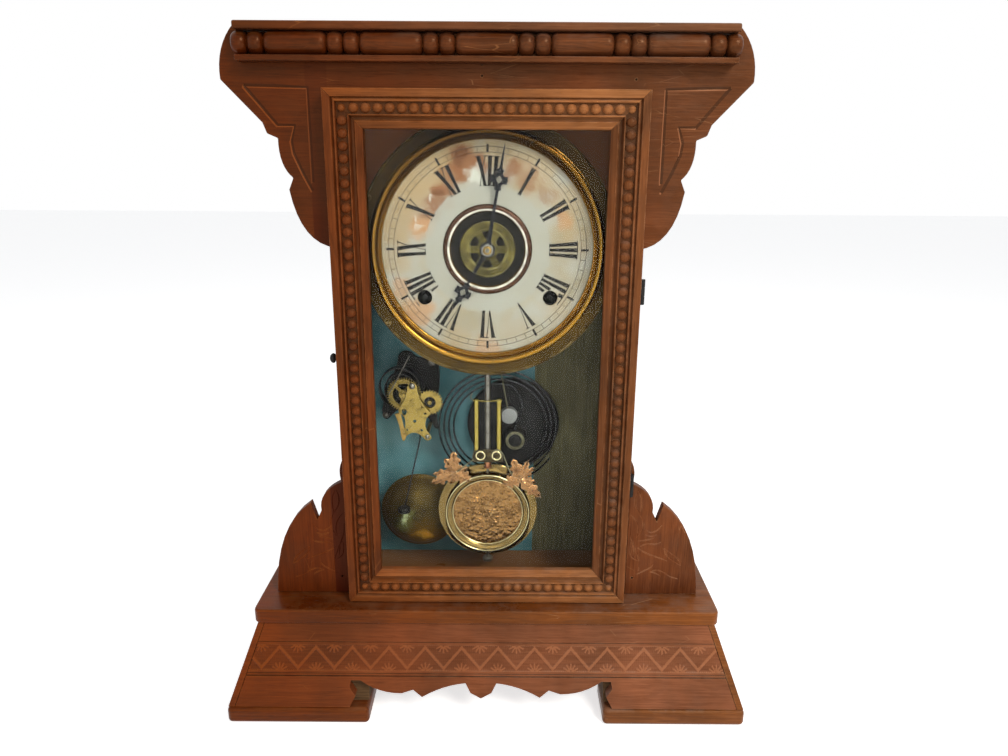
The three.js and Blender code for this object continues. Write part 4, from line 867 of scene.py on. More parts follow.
foliage = [
    [(1.6, 62), (2.2, 53), (4.9, 45), (8.2, 37), (10.9, 28.5), (10.4, 21)],
    [(3.3, 46), (3.0, 40), (3.8, 35), (6.0, 32), (9.3, 30)],
    [(3.3, 46), (5.4, 42), (6.4, 37), (6.6, 33)],
    [(8.7, 41.5), (14.2, 37.7), (21.9, 34.4), (32.8, 30)],
    [(8.7, 47.5), (15.8, 48.4), (22.0, 50.5)],
    [(10.9, 42.6), (15.3, 44.8), (22.4, 44.8), (27.0, 46.5)],
    [(29.6, 41), (37.2, 35.5), (41.5, 31), (43.7, 25.7)],
    [(29.6, 41), (32.0, 35.0), (36.6, 30.6), (43.7, 25.7)],
    [(9.3, 18), (14.2, 20.8), (19.7, 24), (21.9, 26.8)],
    [(19.7, 20.2), (24.6, 21.9), (30, 20.2), (35.5, 16.4), (42, 14.2)],
    [(19.7, 20.2), (23.5, 19.4), (27.9, 16.7)],
    [(2.0, 70), (6.4, 64), (8.2, 57), (7.4, 50)],
    [(7.4, 50), (11.0, 56), (12.0, 63), (9.0, 70)],
    [(9.0, 70), (5.2, 77), (4.6, 84), (6.6, 90)],
    [(6.6, 90), (9.4, 84), (9.8, 77), (9.0, 70)],
    [(13.0, 58), (18.0, 55), (23.0, 56.5), (26.5, 61)],
    [(14.0, 53), (19.0, 51.6), (23.4, 53.0)],
]


def makeWings(face):
    for side, mirror in (("right", False), ("left", True)):
        lines = [[(caseHalf + a, shelfTop + b) for a, b in line] for line in foliage]
        nail = holes([((-1 if mirror else 1) * (caseHalf + 5.5), shelfTop + 14.8)], face, 0.9)
        wing = carved(nodeCopy("wing_" + side, 0.6), strokes(lines, face, 0.48, 6, mirror), -0.45)
        wing = carved(wing, nail)
        addPiece(side + "Wing", wing, woodOf["wingWood"], "case", ["wing_" + side])


beads = {"length": 10.6, "bars": 5, "radius": 7.55, "neck": 3.4, "axisY": boardFace - 3.65, "steps": 56}


def makeBeadMoulding(values):
    low, high = nodeBox("bead_moulding")
    half = high.x + 3.0
    barLength = (2 * half - 12 * values["length"]) / values["bars"]
    profile = [(0.0, -half)]
    along = -half

    def radiusAt(t):
        return values["neck"] + (values["radius"] - values["neck"]) * math.sqrt(1 - (1 - t) ** 2.2)

    def swell(length, shoulder):
        for i in range(9):
            profile.append((radiusAt(i / 8), along + shoulder * i / 8))
        if length > 2.5 * shoulder:
            profile.append((values["radius"] + 0.05, along + length / 2))
        for i in range(9):
            t = 1 - i / 8
            profile.append((radiusAt(t), along + length - shoulder * t))

    for group in range(values["bars"] + 1):
        for bead in range(2):
            swell(values["length"], values["length"] / 2)
            along += values["length"]
        if group < values["bars"]:
            swell(barLength, 5.4)
            along += barLength
    profile.append((0.0, half))
    kept = [profile[0]]
    for point in profile[1:]:
        if math.dist(point, kept[-1]) > 0.02:
            kept.append(point)
    spindle = turnedBy(lathe(kept, values["steps"]), -90, "Z")
    moved(spindle, y=values["axisY"], z=(low.z + high.z) / 2)
    cut = bmesh.ops.bisect_plane(
        spindle, geom=spindle.verts[:] + spindle.edges[:] + spindle.faces[:],
        plane_co=(0, boardFace - 0.3, 0), plane_no=(0, 1, 0), clear_outer=True,
    )["geom_cut"]
    bmesh.ops.edgeloop_fill(spindle, edges=[item for item in cut if isinstance(item, bmesh.types.BMEdge)])
    addPiece("beadMoulding", spindle, woodOf["corniceWood"], "case", ["bead_moulding"], sharp=50)


makeCase()
makeBeadMoulding(beads)
print("the case is made")


# ---- the base

band = {"low": 42.4, "high": 62.3, "depth": 1.3, "pitch": 28.4, "shift": 5.0, "step": 0.5}


def apronFace(z):
    low, high = nodeBox("apron_front")
    share = (high.z - z) / (high.z - low.z)
    frontLow, frontHigh = low.y, -41.55
    return frontHigh + (frontLow - frontHigh) * share


def bandRelief(x, z, values):
    # height of the pressed ornament over its ground, in millimetres
    u = (x + values["shift"]) / values["pitch"]
    v = (z - values["low"]) / (values["high"] - values["low"])
    wave = 1 - np.abs(2 * (u - np.floor(u)) - 1)
    middle = 0.1 + 0.8 * wave
    away = np.abs(v - middle)
    bandEdge = np.clip((0.1 - away) / 0.035, 0, 1)
    ribs = 0.5 + 0.5 * np.cos(2 * math.pi * x / 1.55)
    ground = -values["depth"] * 0.62 + 0.34 * ribs
    fans = np.zeros_like(x)
    for top in (True, False):
        phase = 0.0 if top else 0.5
        cell = np.floor(u + 0.5 + phase) - phase
        dx = x + values["shift"] - cell * values["pitch"]
        dz = (1 - v if top else v) * (values["high"] - values["low"])
        radius = np.hypot(dx, dz)
        angle = np.degrees(np.arctan2(dx, dz + 0.3))
        for spoke in (-62, -31, 0, 31, 62):
            off = np.abs(angle - spoke) / 57.3 * radius
            inside = np.clip((0.75 - off) / 0.3, 0, 1) * np.clip((radius - 0.9) / 0.5, 0, 1)
            fans = np.maximum(fans, inside * np.clip((6.6 - radius) / 0.7, 0, 1))
    ground = np.minimum(ground + 0.8 * fans, -0.06)
    rim = np.clip(np.minimum(v, 1 - v) / 0.045, 0, 1)
    return np.where(bandEdge > 0, ground * (1 - bandEdge) - 0.08 * bandEdge, ground) * rim


def makeBand(values):
    low, high = nodeBox("apron_front")
    rows = 40
    columns = int((high.x - low.x) / values["step"])
    bm = bmesh.new()
    grid = []
    for j in range(rows + 1):
        z = values["low"] + (values["high"] - values["low"]) * j / rows
        half = high.x - 24.0 * (z - low.z) / (high.z - low.z) - 0.02
        xs = np.linspace(-half, half, columns + 1)
        relief = bandRelief(xs, np.full_like(xs, z), values)
        y = apronFace(z)
        grid.append([bm.verts.new((x, y - h - 0.02, z)) for x, h in zip(xs, relief)])
    for j in range(rows):
        for i in range(columns):
            bm.faces.new((grid[j][i], grid[j][i + 1], grid[j + 1][i + 1], grid[j + 1][i]))
    return bm


# painted highlight on the raised ornament and painted shade in its hollows
def bandDirt(co):
    depth = co.y - apronFace(co.z)
    return -0.5 if depth < 0.3 else min(depth / 1.05, 1.0) * 0.3


def makeBase():
    low, high = nodeBox("apron_front")
    bandCut = block((low.x - 5, -70, band["low"]), (high.x + 5, -30, band["high"]), 0)
    for vert in bandCut.verts:
        vert.co.y = apronFace(vert.co.z) + (band["depth"] + 0.3 if vert.co.y > -50 else -12)
    grooves = [
        wire([(low.x - 5, apronFace(z), z), (high.x + 5, apronFace(z), z)], radius, 6)
        for z, radius in ((38.6, 0.55), (40.6, 0.3), (64.6, 0.3))
    ]
    apron = carved(carved(nodeCopy("apron_front", 0.25), bandCut), joined(*grooves))
    addPiece("frontApron", joined(apron, setDirt(makeBand(band), bandDirt)), woodOf["baseWood"], "case",
             ["apron_front"], recalc=False)
    crack = turnedBy(block((-0.2, 3, shelfTop - 0.7), (0.2, 51, shelfTop + 1), 0), -2, "Z")
    shelf = carved(nodeCopy("base_shelf", 1.6, 3), moved(crack, -21.0, 0, 0))
    addPiece("baseShelf", shelf, woodOf["shelfWood"], "case", ["base_shelf"])
    for side in ("left", "right"):
        look = woodOf["baseWood" if side == "left" else "footWood"]
        addPiece(side + "Apron", nodeCopy("apron_" + side, 0.25), look, "case", ["apron_" + side])
        addPiece(side + "Foot", nodeCopy("foot_" + side, 3.6, 5), woodOf["footWood"], "case",
                 ["foot_" + side])
        addPiece(side + "GlueBlock", nodeCopy("glue_block_" + side, 0.5), woodOf["roughWood"], "case",
                 ["glue_block_" + side])


makeBase()
print("the base is made")


# ---- the door

doorBeads = {"inset": 12.2, "height": 11.5, "railCount": 25, "stileCount": 45, "size": (3.45, 3.3, 3.45)}


def beadRow(places, size):
    parts = []
    for x, y, z in places:
        bead = bmesh.new()
        bmesh.ops.create_uvsphere(bead, u_segments=14, v_segments=9, radius=1)
        turnedBy(bead, 90, "X")
        bmesh.ops.scale(bead, vec=size, verts=bead.verts)
        bmesh.ops.bisect_plane(
            bead, geom=bead.verts[:] + bead.edges[:] + bead.faces[:],
            plane_co=(0, 0.4, 0), plane_no=(0, 1, 0), clear_outer=True,
        )
        parts.append(moved(bead, x, y, z))
    return joined(*parts)


railSection = [
    (0.0, 0.0), (0.0, 13.9), (0.2, 14.5), (0.8, 14.7), (4.6, 14.7), (5.2, 14.4), (5.6, 13.4), (6.1, 12.9),
    (6.5, 13.4), (6.9, 14.1), (7.4, 14.35), (8.0, 14.2), (8.4, 13.2), (8.6, 11.7), (15.8, 11.7), (16.0, 13.0),
    (16.4, 13.6), (16.9, 13.5), (17.2, 12.4), (17.5, 10.6), (18.0, 9.6), (18.8, 9.2), (19.5, 9.3), (19.9, 10.1),
    (20.3, 10.4), (20.9, 10.1), (23.0, 8.9), (24.3, 8.3), (24.9, 7.6), (25.0, 3.8), (21.5, 3.8), (21.5, 0.0),
]


def railDirt(inward, height):
    # darker in the quirks and the bead channel of the moulding
    quirk = max(1 - abs(inward - 6.0) / 0.7, 1 - abs(inward - 18.4) / 1.3, 0.0)
    if 8.5 < inward < 15.9 and height < 12.2:
        quirk = 0.9
    return quirk if height > 6 else 0.0


def rail(half):
    # a mitred length along X, its outer edge at z 0 and its face forward; half is half its length
    bm = bmesh.new()
    steps = 24
    rings = []
    for i in range(steps + 1):
        share = 2 * i / steps - 1
        rings.append([
            bm.verts.new((share * (half - inward - 0.15), -height, inward)) for inward, height in railSection
        ])
    for first, second in zip(rings, rings[1:]):
        for k in range(len(railSection)):
            j = (k + 1) % len(railSection)
            bm.faces.new((first[k], first[j], second[j], second[k]))
    bm.faces.new(rings[0])
    bm.faces.new(rings[-1][::-1])
    return setDirt(bm, lambda co: railDirt(co.z, -co.y))


def makeDoor(values):
    left, bottom = nodeBox("door_left_stile")[0].x, nodeBox("door_bottom_rail")[0].z
    right, top = nodeBox("door_right_stile")[1].x, nodeBox("door_top_rail")[1].z
    back = nodeBox("door_top_rail")[1].y
    inset = values["inset"]
    y = back - values["height"]
    wide, deep, tall = values["size"]
    across = right - left - 2 * inset
    up = top - bottom - 2 * inset
    middle = (top + bottom) / 2
    for name, edge, z, turn in (("bottom", bottom, bottom + inset, 0), ("top", top, top - inset, 180)):
        count = values["railCount"]
        places = [(left + inset + across * i / (count - 1), y, z) for i in range(count)]
        row = joined(beadRow(places[1:-1], (wide, deep, tall)),
                     beadRow([places[0], places[-1]], (wide * 0.75, deep * 0.85, tall * 0.75)))
        length = moved(turnedBy(rail((right - left) / 2), turn, "Y"), 0, back, edge)
        addPiece(name + "DoorRail", joined(length, row), woodOf["frameWoodX"], "door",
                 ["door_%s_rail" % name])
    for name, edge, x, turn in (("left", left, left + inset, 90), ("right", right, right - inset, -90)):
        count = values["stileCount"]
        places = [(x, y, bottom + inset + up * i / (count - 1)) for i in range(1, count - 1)]
        length = moved(turnedBy(rail((top - bottom) / 2), turn, "Y"), edge, back, middle)
        if name == "right":
            length = carved(length, hingePockets())
        addPiece(name + "DoorStile", joined(length, beadRow(places, (wide * 1.06, deep, tall * 0.98))),
                 woodOf["frameWoodZ"], "door", ["door_%s_stile" % name])


def hingePockets():
    pockets = []
    for name in ("upper", "lower"):
        low, high = nodeBox("hinge_%s_door_leaf" % name)
        pockets.append(block((low.x - 0.3, boardFace - 1.5, low.z - 0.3), (high.x + 3, boardFace + 1, high.z + 0.3),
                             0))
    return joined(*pockets)


makeDoor(doorBeads)
print("the door is made")


# ---- metals, paper and glass

# heights of the painted light below and the painted shade above, on bezel and pan
heightShadeSpan = (dialCentre.z - 30, dialCentre.z + 85)
metals = {
    "bezelBrass": {"bright": (132, 104, 46), "dull": (86, 68, 30), "dark": (30, 24, 12), "tarnish": 0.35, "wear": 0.9,
                   "rubbed": (214, 190, 120), "rough": (0.2, 0.36), "size": 0.6, "aged": heightShadeSpan},
    "panMetal": {"bright": (64, 52, 26), "dull": (48, 40, 21), "dark": (26, 21, 12), "tarnish": 0.45,
                 "size": 0.5, "aged": heightShadeSpan,
                 "rough": (0.35, 0.6), "metallic": 0.85, "rubbed": (196, 184, 134), "wear": 1.0},
    "rimBrown": {"bright": (74, 48, 34), "dull": (52, 36, 26), "dark": (26, 18, 14), "tarnish": 0.5,
                 "rough": (0.25, 0.45), "metallic": 0.5, "rubbed": (150, 100, 74), "wear": 0.6},
    "paleBrass": {"bright": (206, 194, 150), "dull": (168, 154, 112), "dark": (90, 78, 50), "tarnish": 0.3,
                  "rough": (0.25, 0.4), "rubbed": (240, 232, 200)},
    "coilSteel": {"bright": (62, 62, 64), "dull": (40, 40, 42), "dark": (40, 32, 26), "tarnish": 0.4,
                  "rough": (0.2, 0.35), "metallic": 0.9, "rubbed": (96, 96, 98), "wear": 0.3},
    "wellMetal": {"bright": (30, 24, 20), "dull": (18, 15, 13), "dark": (8, 7, 6), "tarnish": 0.8,
                  "rough": (0.5, 0.7), "metallic": 0.3, "rubbed": (80, 60, 44)},
    "discBrass": {"bright": (104, 95, 52), "dull": (70, 63, 35), "dark": (34, 30, 18), "tarnish": 0.6, "wear": 0.9,
                  "rubbed": (186, 176, 118), "size": 1.6},
    "handSteel": {"bright": (30, 30, 33), "dull": (18, 18, 20), "dark": (44, 30, 20), "tarnish": 0.3,
                  "rough": (0.35, 0.6), "metallic": 0.7, "rubbed": (70, 70, 76)},
    "plainBrass": {"bright": (164, 133, 72), "dull": (112, 90, 48), "dark": (52, 40, 22), "tarnish": 0.45,
                   "rubbed": (220, 196, 130), "wear": 0.8},
    "plainSteel": {"bright": (122, 118, 110), "dull": (86, 82, 74), "dark": (60, 46, 34), "tarnish": 0.45,
                   "rubbed": (190, 188, 182)},
    "blackIron": {"bright": (34, 33, 33), "dull": (22, 21, 21), "dark": (44, 30, 20), "tarnish": 0.5,
                  "rough": (0.5, 0.75), "metallic": 0.3, "rubbed": (70, 68, 66), "wear": 0.4},
    "springSteel": {"bright": (46, 45, 46), "dull": (26, 25, 26), "dark": (44, 30, 20), "tarnish": 0.5,
                    "rough": (0.35, 0.6), "metallic": 0.8, "rubbed": (120, 118, 116)},
    "copper": {"bright": (176, 118, 84), "dull": (120, 76, 52), "dark": (54, 34, 24), "tarnish": 0.5,
               "rubbed": (220, 166, 126), "wear": 0.9, "size": 1.5},
    "bobBrass": {"bright": (122, 100, 58), "dull": (86, 70, 38), "dark": (46, 36, 20), "tarnish": 0.4,
                 "rubbed": (232, 214, 156), "wear": 1.0, "rough": (0.18, 0.34), "size": 0.7},
    "tubeBrass": {"bright": (160, 142, 70), "dull": (104, 90, 44), "dark": (40, 34, 18), "tarnish": 0.35,
                  "rubbed": (236, 220, 140), "wear": 0.9, "rough": (0.15, 0.3)},
}
metalOf = {name: metal(name, values) for name, values in metals.items()}


def spots(tree, place, tint, marks, blur=0.45):
    # stains, and on the bell painted highlights and painted shade: each mark is x, z, radius (millimetres), strength
    # and colour
    warp = put(tree, "TexNoise", {"Vector": place, "Scale": 55.0, "Detail": 4.0, "Roughness": 0.6}).outputs["Color"]
    warp = put(tree, "VectorMath", {0: warp, 1: (0.5, 0.5, 0.5)}, operation="SUBTRACT").outputs[0]
    warp = put(tree, "VectorMath", {0: warp, "Scale": 0.03}, operation="SCALE").outputs[0]
    at = put(tree, "VectorMath", {0: place, 1: warp}, operation="ADD").outputs[0]
    for x, z, radius, strength, colour in marks:
        away = put(tree, "VectorMath", {0: at, 1: (x * mm, 0, z * mm)}, operation="DISTANCE").outputs["Value"]
        mask = ramp(tree, away, radius * mm * 1.15, radius * mm * blur)
        tint = blend(tree, times(tree, mask, strength), tint, tone(*colour))
    return tint


def paper(name, base, marks, centre, rough=0.85, blotches=(0.35, 0.7), second=None, upper=None, inner=None):
    material, tree, shader, place = newMaterial(name, (0, 0, 0), centre)
    place = put(tree, "VectorMath", {0: place, 1: (1, 0, 1)}, operation="MULTIPLY").outputs[0]
    cloud = ramp(tree, noiseAt(tree, place, 30.0, 5.0, 0.6), *blotches)
    tint = blend(tree, cloud, tone(*base), tone(*(second or [c * 0.86 for c in base])))
    tint = spots(tree, place, tint, marks)
    speck = ramp(tree, noiseAt(tree, place, 900.0, 2.0), 0.66, 0.76)
    tint = blend(tree, times(tree, speck, 0.45), tint, tone(92, 74, 50))
    if upper:
        tint = upperTone(tree, tint, *upper)
    if inner:
        away = put(tree, "VectorMath", {0: place, 1: (0, 0, 0)}, operation="DISTANCE").outputs["Value"]
        frayed = math2(tree, "ADD", away, times(tree, noiseAt(tree, place, 160.0, 4.0), 0.006))
        kept = ramp(tree, frayed, (inner[0] + 4.0) * mm, (inner[0] + 2.4) * mm, 0.0, 0.75)
        tint = blend(tree, kept, tint, tone(*inner[1]))
    tree.links.new(tint, shader.inputs["Base Color"])
    shader.inputs["Roughness"].default_value = rough
    shader.inputs["Specular IOR Level"].default_value = 0.1
    bumpFrom(tree, shader, noiseAt(tree, place, 260.0, 5.0), 0.12, 0.35)
    return material


brownStain, tanStain, paleFlake, greyStain = (118, 78, 50), (144, 121, 86), (172, 171, 160), (126, 120, 106)
peachStain, darkStain = (156, 114, 76), (92, 58, 35)
dialMarks = [
    (-22, 66, 20, 0.75, tanStain), (-42, 54, 20, 0.75, tanStain), (-58, 36, 18, 0.7, tanStain),
    (-64, 16, 16, 0.6, tanStain), (-66, -8, 14, 0.4, tanStain), (8, 68, 16, 0.6, tanStain),
    (36, 56, 20, 0.6, tanStain), (56, 34, 18, 0.5, tanStain), (66, 8, 13, 0.35, tanStain),
    (-16, 59, 14, 0.9, brownStain), (-24, 54, 10, 0.85, brownStain), (-32, 39, 10, 0.9, brownStain),
    (-40, 29, 9, 0.85, brownStain), (-46, 16, 11, 0.85, peachStain), (-34, 36, 5, 0.8, darkStain),
    (-20, 61, 6, 0.7, darkStain), (-4, 59, 8, 0.85, brownStain), (18, 55, 9, 0.8, brownStain),
    (30, 48, 8, 0.6, brownStain), (43, 38, 9, 0.45, brownStain), (54, 21, 10, 0.6, peachStain),
    (50, 20, 4, 0.5, brownStain), (-53, -44, 13, 0.65, peachStain),
    (-64, -28, 9, 0.55, peachStain), (0, -75, 12, 0.5, peachStain), (50, -40, 14, 0.4, tanStain),
    (-20, -70, 14, 0.3, tanStain), (20, -60, 16, 0.25, tanStain), (10, -38, 4, 0.4, tanStain),
    (28, 18, 12, 0.2, greyStain), (-12, -50, 12, 0.2, greyStain), (-10, 50, 8, 0.95, paleFlake),
    (-40, 33, 4, 0.8, paleFlake), (-47, 15, 4.5, 0.6, paleFlake), (-50, 21, 3, 0.6, paleFlake),
]
# stains and pale patches on the teal label; the two dark marks at the top are painted shade below the dial
labelStainsAndShade = [
    (-60, 90, 62, 0.85, (36, 54, 54)), (10, 100, 66, 0.8, (38, 52, 52)), (-90, 0, 30, 0.4, (60, 70, 66)),
    (30, -20, 30, 0.35, (92, 120, 120)), (-40, -90, 26, 0.35, (96, 138, 144)), (-80, -150, 28, 0.5, (64, 74, 66)),
    (38, -120, 16, 0.5, (80, 76, 56)), (-20, -165, 30, 0.4, (58, 66, 58)), (-20, -72, 24, 0.5, (60, 70, 66)),
    (-55, -66, 20, 0.5, (112, 150, 150)),
]


def inkMaterial():
    material, tree, shader, place = newMaterial("ink")
    faded = ramp(tree, noiseAt(tree, place, 240.0, 5.0, 0.65), 0.5, 0.72)
    tree.links.new(blend(tree, faded, tone(24, 22, 21), tone(66, 60, 52)), shader.inputs["Base Color"])
    shader.inputs["Roughness"].default_value = 0.8
    shader.inputs["Specular IOR Level"].default_value = 0.2
    return material


def glassMaterial():
    material, tree, shader, place = newMaterial("doorGlass")
    shader.inputs["Base Color"].default_value = (0.96, 0.985, 0.975, 1)
    shader.inputs["Transmission Weight"].default_value = 1.0
    shader.inputs["IOR"].default_value = 1.12
    shader.inputs["Metallic"].default_value = 0.0
    smear = ramp(tree, noiseAt(tree, stretched(tree, place, 18, 5), 2.0, 5.0), 0.55, 0.8, 0.0, 0.05)
    tree.links.new(smear, shader.inputs["Roughness"])
    clear = put(tree, "BsdfTransparent", {"Color": (0.95, 0.97, 0.96, 1)})
    mix = put(tree, "MixShader")
    tree.links.new(put(tree, "LightPath").outputs["Is Shadow Ray"], mix.inputs[0])
    tree.links.new(shader.outputs[0], mix.inputs[1])
    tree.links.new(clear.outputs[0], mix.inputs[2])
    tree.links.new(mix.outputs[0], tree.nodes["Material Output"].inputs["Surface"])
    return material


def paintMaterial(name, colour, rough=0.55):
    material, tree, shader, place = newMaterial(name)
    cloud = ramp(tree, noiseAt(tree, place, 160.0, 5.0), 0.4, 0.7)
    tree.links.new(blend(tree, cloud, tone(*colour), tone(*[c * 0.7 for c in colour])), shader.inputs["Base Color"])
    shader.inputs["Roughness"].default_value = rough
    return material


ink = inkMaterial()
dialPaper = paper("dialPaper", (147, 144, 133), dialMarks, dialCentre,
                  second=(136, 125, 102), inner=(45.5, (143, 142, 132)))
labelCentre = centreOf("label_paper")
labelPaper = paper("labelPaper", (86, 122, 128), labelStainsAndShade, labelCentre, 0.92, (0.35, 0.65), (60, 98, 102),
                   upper=upperBrownAndLight)
print("metal, paper and glass materials are made")


# ---- door fittings and glass


def makeFittings():
    addPiece("doorGlass", nodeCopy("glass_pane", 0), glassMaterial(), "door", ["glass_pane"],
             flat=False)
    low, high = nodeBox("door_knob")
    middle = centreOf("door_knob")
    profile = [(0, 0), (2.3, 0), (2.3, 0.5), (1.7, 0.9), (1.7, 1.3), (3.0, 1.7), (3.6, 2.5), (3.6, 3.3), (3.1, 4.2),
               (2.2, 4.9), (1.1, 5.3), (0, 5.4)]
    knob = moved(turnedBy(lathe(profile, 32), 90, "Z"), high.x, middle.y, middle.z)
    addPiece("doorKnob", knob, metalOf["blackIron"], "door", ["door_knob"])
    for name in ("upper", "lower"):
        addPiece(name + "HingeCaseLeaf", nodeCopy("hinge_%s_case_leaf" % name, 0.15), metalOf["blackIron"], "case",
                 ["hinge_%s_case_leaf" % name])
        addPiece(name + "HingeDoorLeaf", nodeCopy("hinge_%s_door_leaf" % name, 0.15), metalOf["blackIron"], "door",
                 ["hinge_%s_door_leaf" % name])


makeFittings()


# ---- dial

dialSet = {
    "paperFront": -5.1, "wellFace": -2.4, "panFace": -4.4, "panRadius": 94.0, "windingX": 46.0, "windingDrop": 35.0,
    "holeRadius": 5.4, "numeralLow": 44.6, "numeralHeight": 20.6, "numeralWeight": 2.5, "hair": 0.6,
    "trackOuter": 71.4, "trackInner": 67.5, "bezelBase": -5.4,
}


def circle(radius, steps=96, x=0.0, z=0.0):
    return [(x + p[0], z + p[1]) for p in (polar(radius, 360 * i / steps) for i in range(steps))]


def atDial(bm):
    return moved(bm, 0, 0, dialCentre.z)


def makePan(values):
    face, well = values["panFace"], values["wellFace"]
    profile = [
        (4.6, well), (26.6, well), (27.6, well - 0.5), (28.4, face - 0.6), (29.0, face - 1.3), (29.8, face - 1.75),
        (30.6, face - 1.7), (31.4, face - 1.1), (31.9, face - 0.2), (33, face), (88, face), (90.0, face - 0.1),
        (92.3, face - 0.1), (92.8, face - 0.75), (93.5, face - 0.8), (94, face - 0.3), (94, face + 0.8),
        (32.4, face + 0.8), (30.8, face - 0.8), (29.6, face - 0.9), (28.4, well + 0.4), (28, well + 0.8),
        (4.6, well + 0.8), (4.6, well),
    ]
    cutters = [rod((x, -9, -values["windingDrop"]), (x, 2, -values["windingDrop"]), values["holeRadius"], 32)
               for x in (-values["windingX"], values["windingX"])]
    screwPlaces = [(74, 54), (-84.6, 36), (84.6, -36), (-74, -54)]
    pan = joined(carved(lathe(profile, 128), joined(*cutters)), *[
        moved(screwHead(2.4, 0.9, 30 + 50 * i), x, face, z) for i, (x, z) in enumerate(screwPlaces)
    ])
    addPiece("dialPan", atDial(pan), metalOf["panMetal"], "case", ["dial_pan"])
    wellParts = lathe([(5.0, well - 0.05), (27.2, well - 0.05), (27.2, well + 0.1), (5.0, well + 0.1),
                       (5.0, well - 0.05)], 96)
    addPiece("dialWell", atDial(wellParts), metalOf["wellMetal"], "case")
    rim = lathe([(28.9, face - 1.0), (28.95, face - 1.75), (29.8, face - 1.85), (30.7, face - 1.8),
                 (31.5, face - 1.2), (32.1, face - 0.3), (32.1, face - 0.1), (31.6, face - 0.1), (28.9, face - 1.0)],
                 96)
    addPiece("wellRim", atDial(rim), metalOf["rimBrown"], "case")
    line = lathe([(27.5, face - 1.0), (28.2, face - 1.75), (28.9, face - 1.6), (28.9, face - 0.8), (27.7, face - 0.6),
                  (27.5, face - 1.0)], 128)
    addPiece("wellRing", atDial(line), paintMaterial("wellPaint", (214, 210, 196)), "case")


def makeBezel(values):
    base = values["bezelBase"]
    torus = [(81.7 + 2.5 * math.cos(a), base - 4.9 - 2.65 * math.sin(a)) for a in
             (math.radians(180 - 180 * i / 16) for i in range(17))]
    profile = [(76, base), (76, base - 2.1), (76.25, base - 2.6), (76.7, base - 2.8), (77.1, base - 2.5),
               (77.4, base - 2.2), (78.3, base - 3.0), (78.7, base - 3.4), (79.0, base - 3.9)]
    profile += torus + [(84.35, base - 3.6), (84.7, base - 3.5), (85, base - 3.1), (85, base), (76, base)]
    addPiece("bezel", atDial(lathe(profile, 160)), metalOf["bezelBrass"], "case", ["bezel"])


def letterShapes(letter, height, thick, hair):
    # half the letter's width, and the four corners of each stroke: one long side down, the other up
    half = thick / 2

    def serif(x0, x1, z):
        return [(x0, z), (x1, z), (x1, z + hair), (x0, z + hair)]

    if letter == "I":
        return 1.95, [[(-half, height), (-half, 0), (half, 0), (half, height)], serif(-1.95, 1.95, 0),
                      serif(-1.95, 1.95, height - hair)]
    tops = [serif(-3.6, -0.4, height - hair), serif(1.2, 3.5, height - hair)]
    if letter == "V":
        return 3.4, [[(-3.0, height), (-0.5, 0), (0.6, 0), (-3.0 + thick, height)],
                     [(2.2, height), (0.1, 0), (0.5, 0), (2.2 + hair, height)]] + tops
    return 3.5, [[(-3.0, height), (3.0 - thick, 0), (3.0, 0), (-3.0 + thick, height)],
                 [(2.3, height), (-2.7, 0), (-2.7 + hair, 0), (2.3 + hair, height)],
                 serif(0.7, 3.5, 0), serif(-3.4, -1.3, 0)] + tops


def strokePieces(corners, place, clear):
    # a stroke bent round the dial, less what falls in a winding hole
    steps = 26
    sides = []
    for i in range(steps + 1):
        t = i / steps
        sides.append([place(*(a + (b - a) * t for a, b in zip(corners[k], corners[m]))) for k, m in ((0, 1), (3, 2))])
    runs, run = [], []
    for left, right in sides:
        middle = ((left[0] + right[0]) / 2, (left[1] + right[1]) / 2)
        if clear(middle):
            run.append((left, right))
        else:
            runs.append(run)
            run = []
    runs.append(run)
    return [[pair[0] for pair in run] + [pair[1] for pair in run[::-1]] for run in runs if len(run) > 1]


def radialPoint(u, v, values, degrees):
    turn = math.radians(degrees) + u / (values["numeralLow"] + values["numeralHeight"] * 0.5)
    radius = values["numeralLow"] + v
    return radius * math.sin(turn), radius * math.cos(turn)


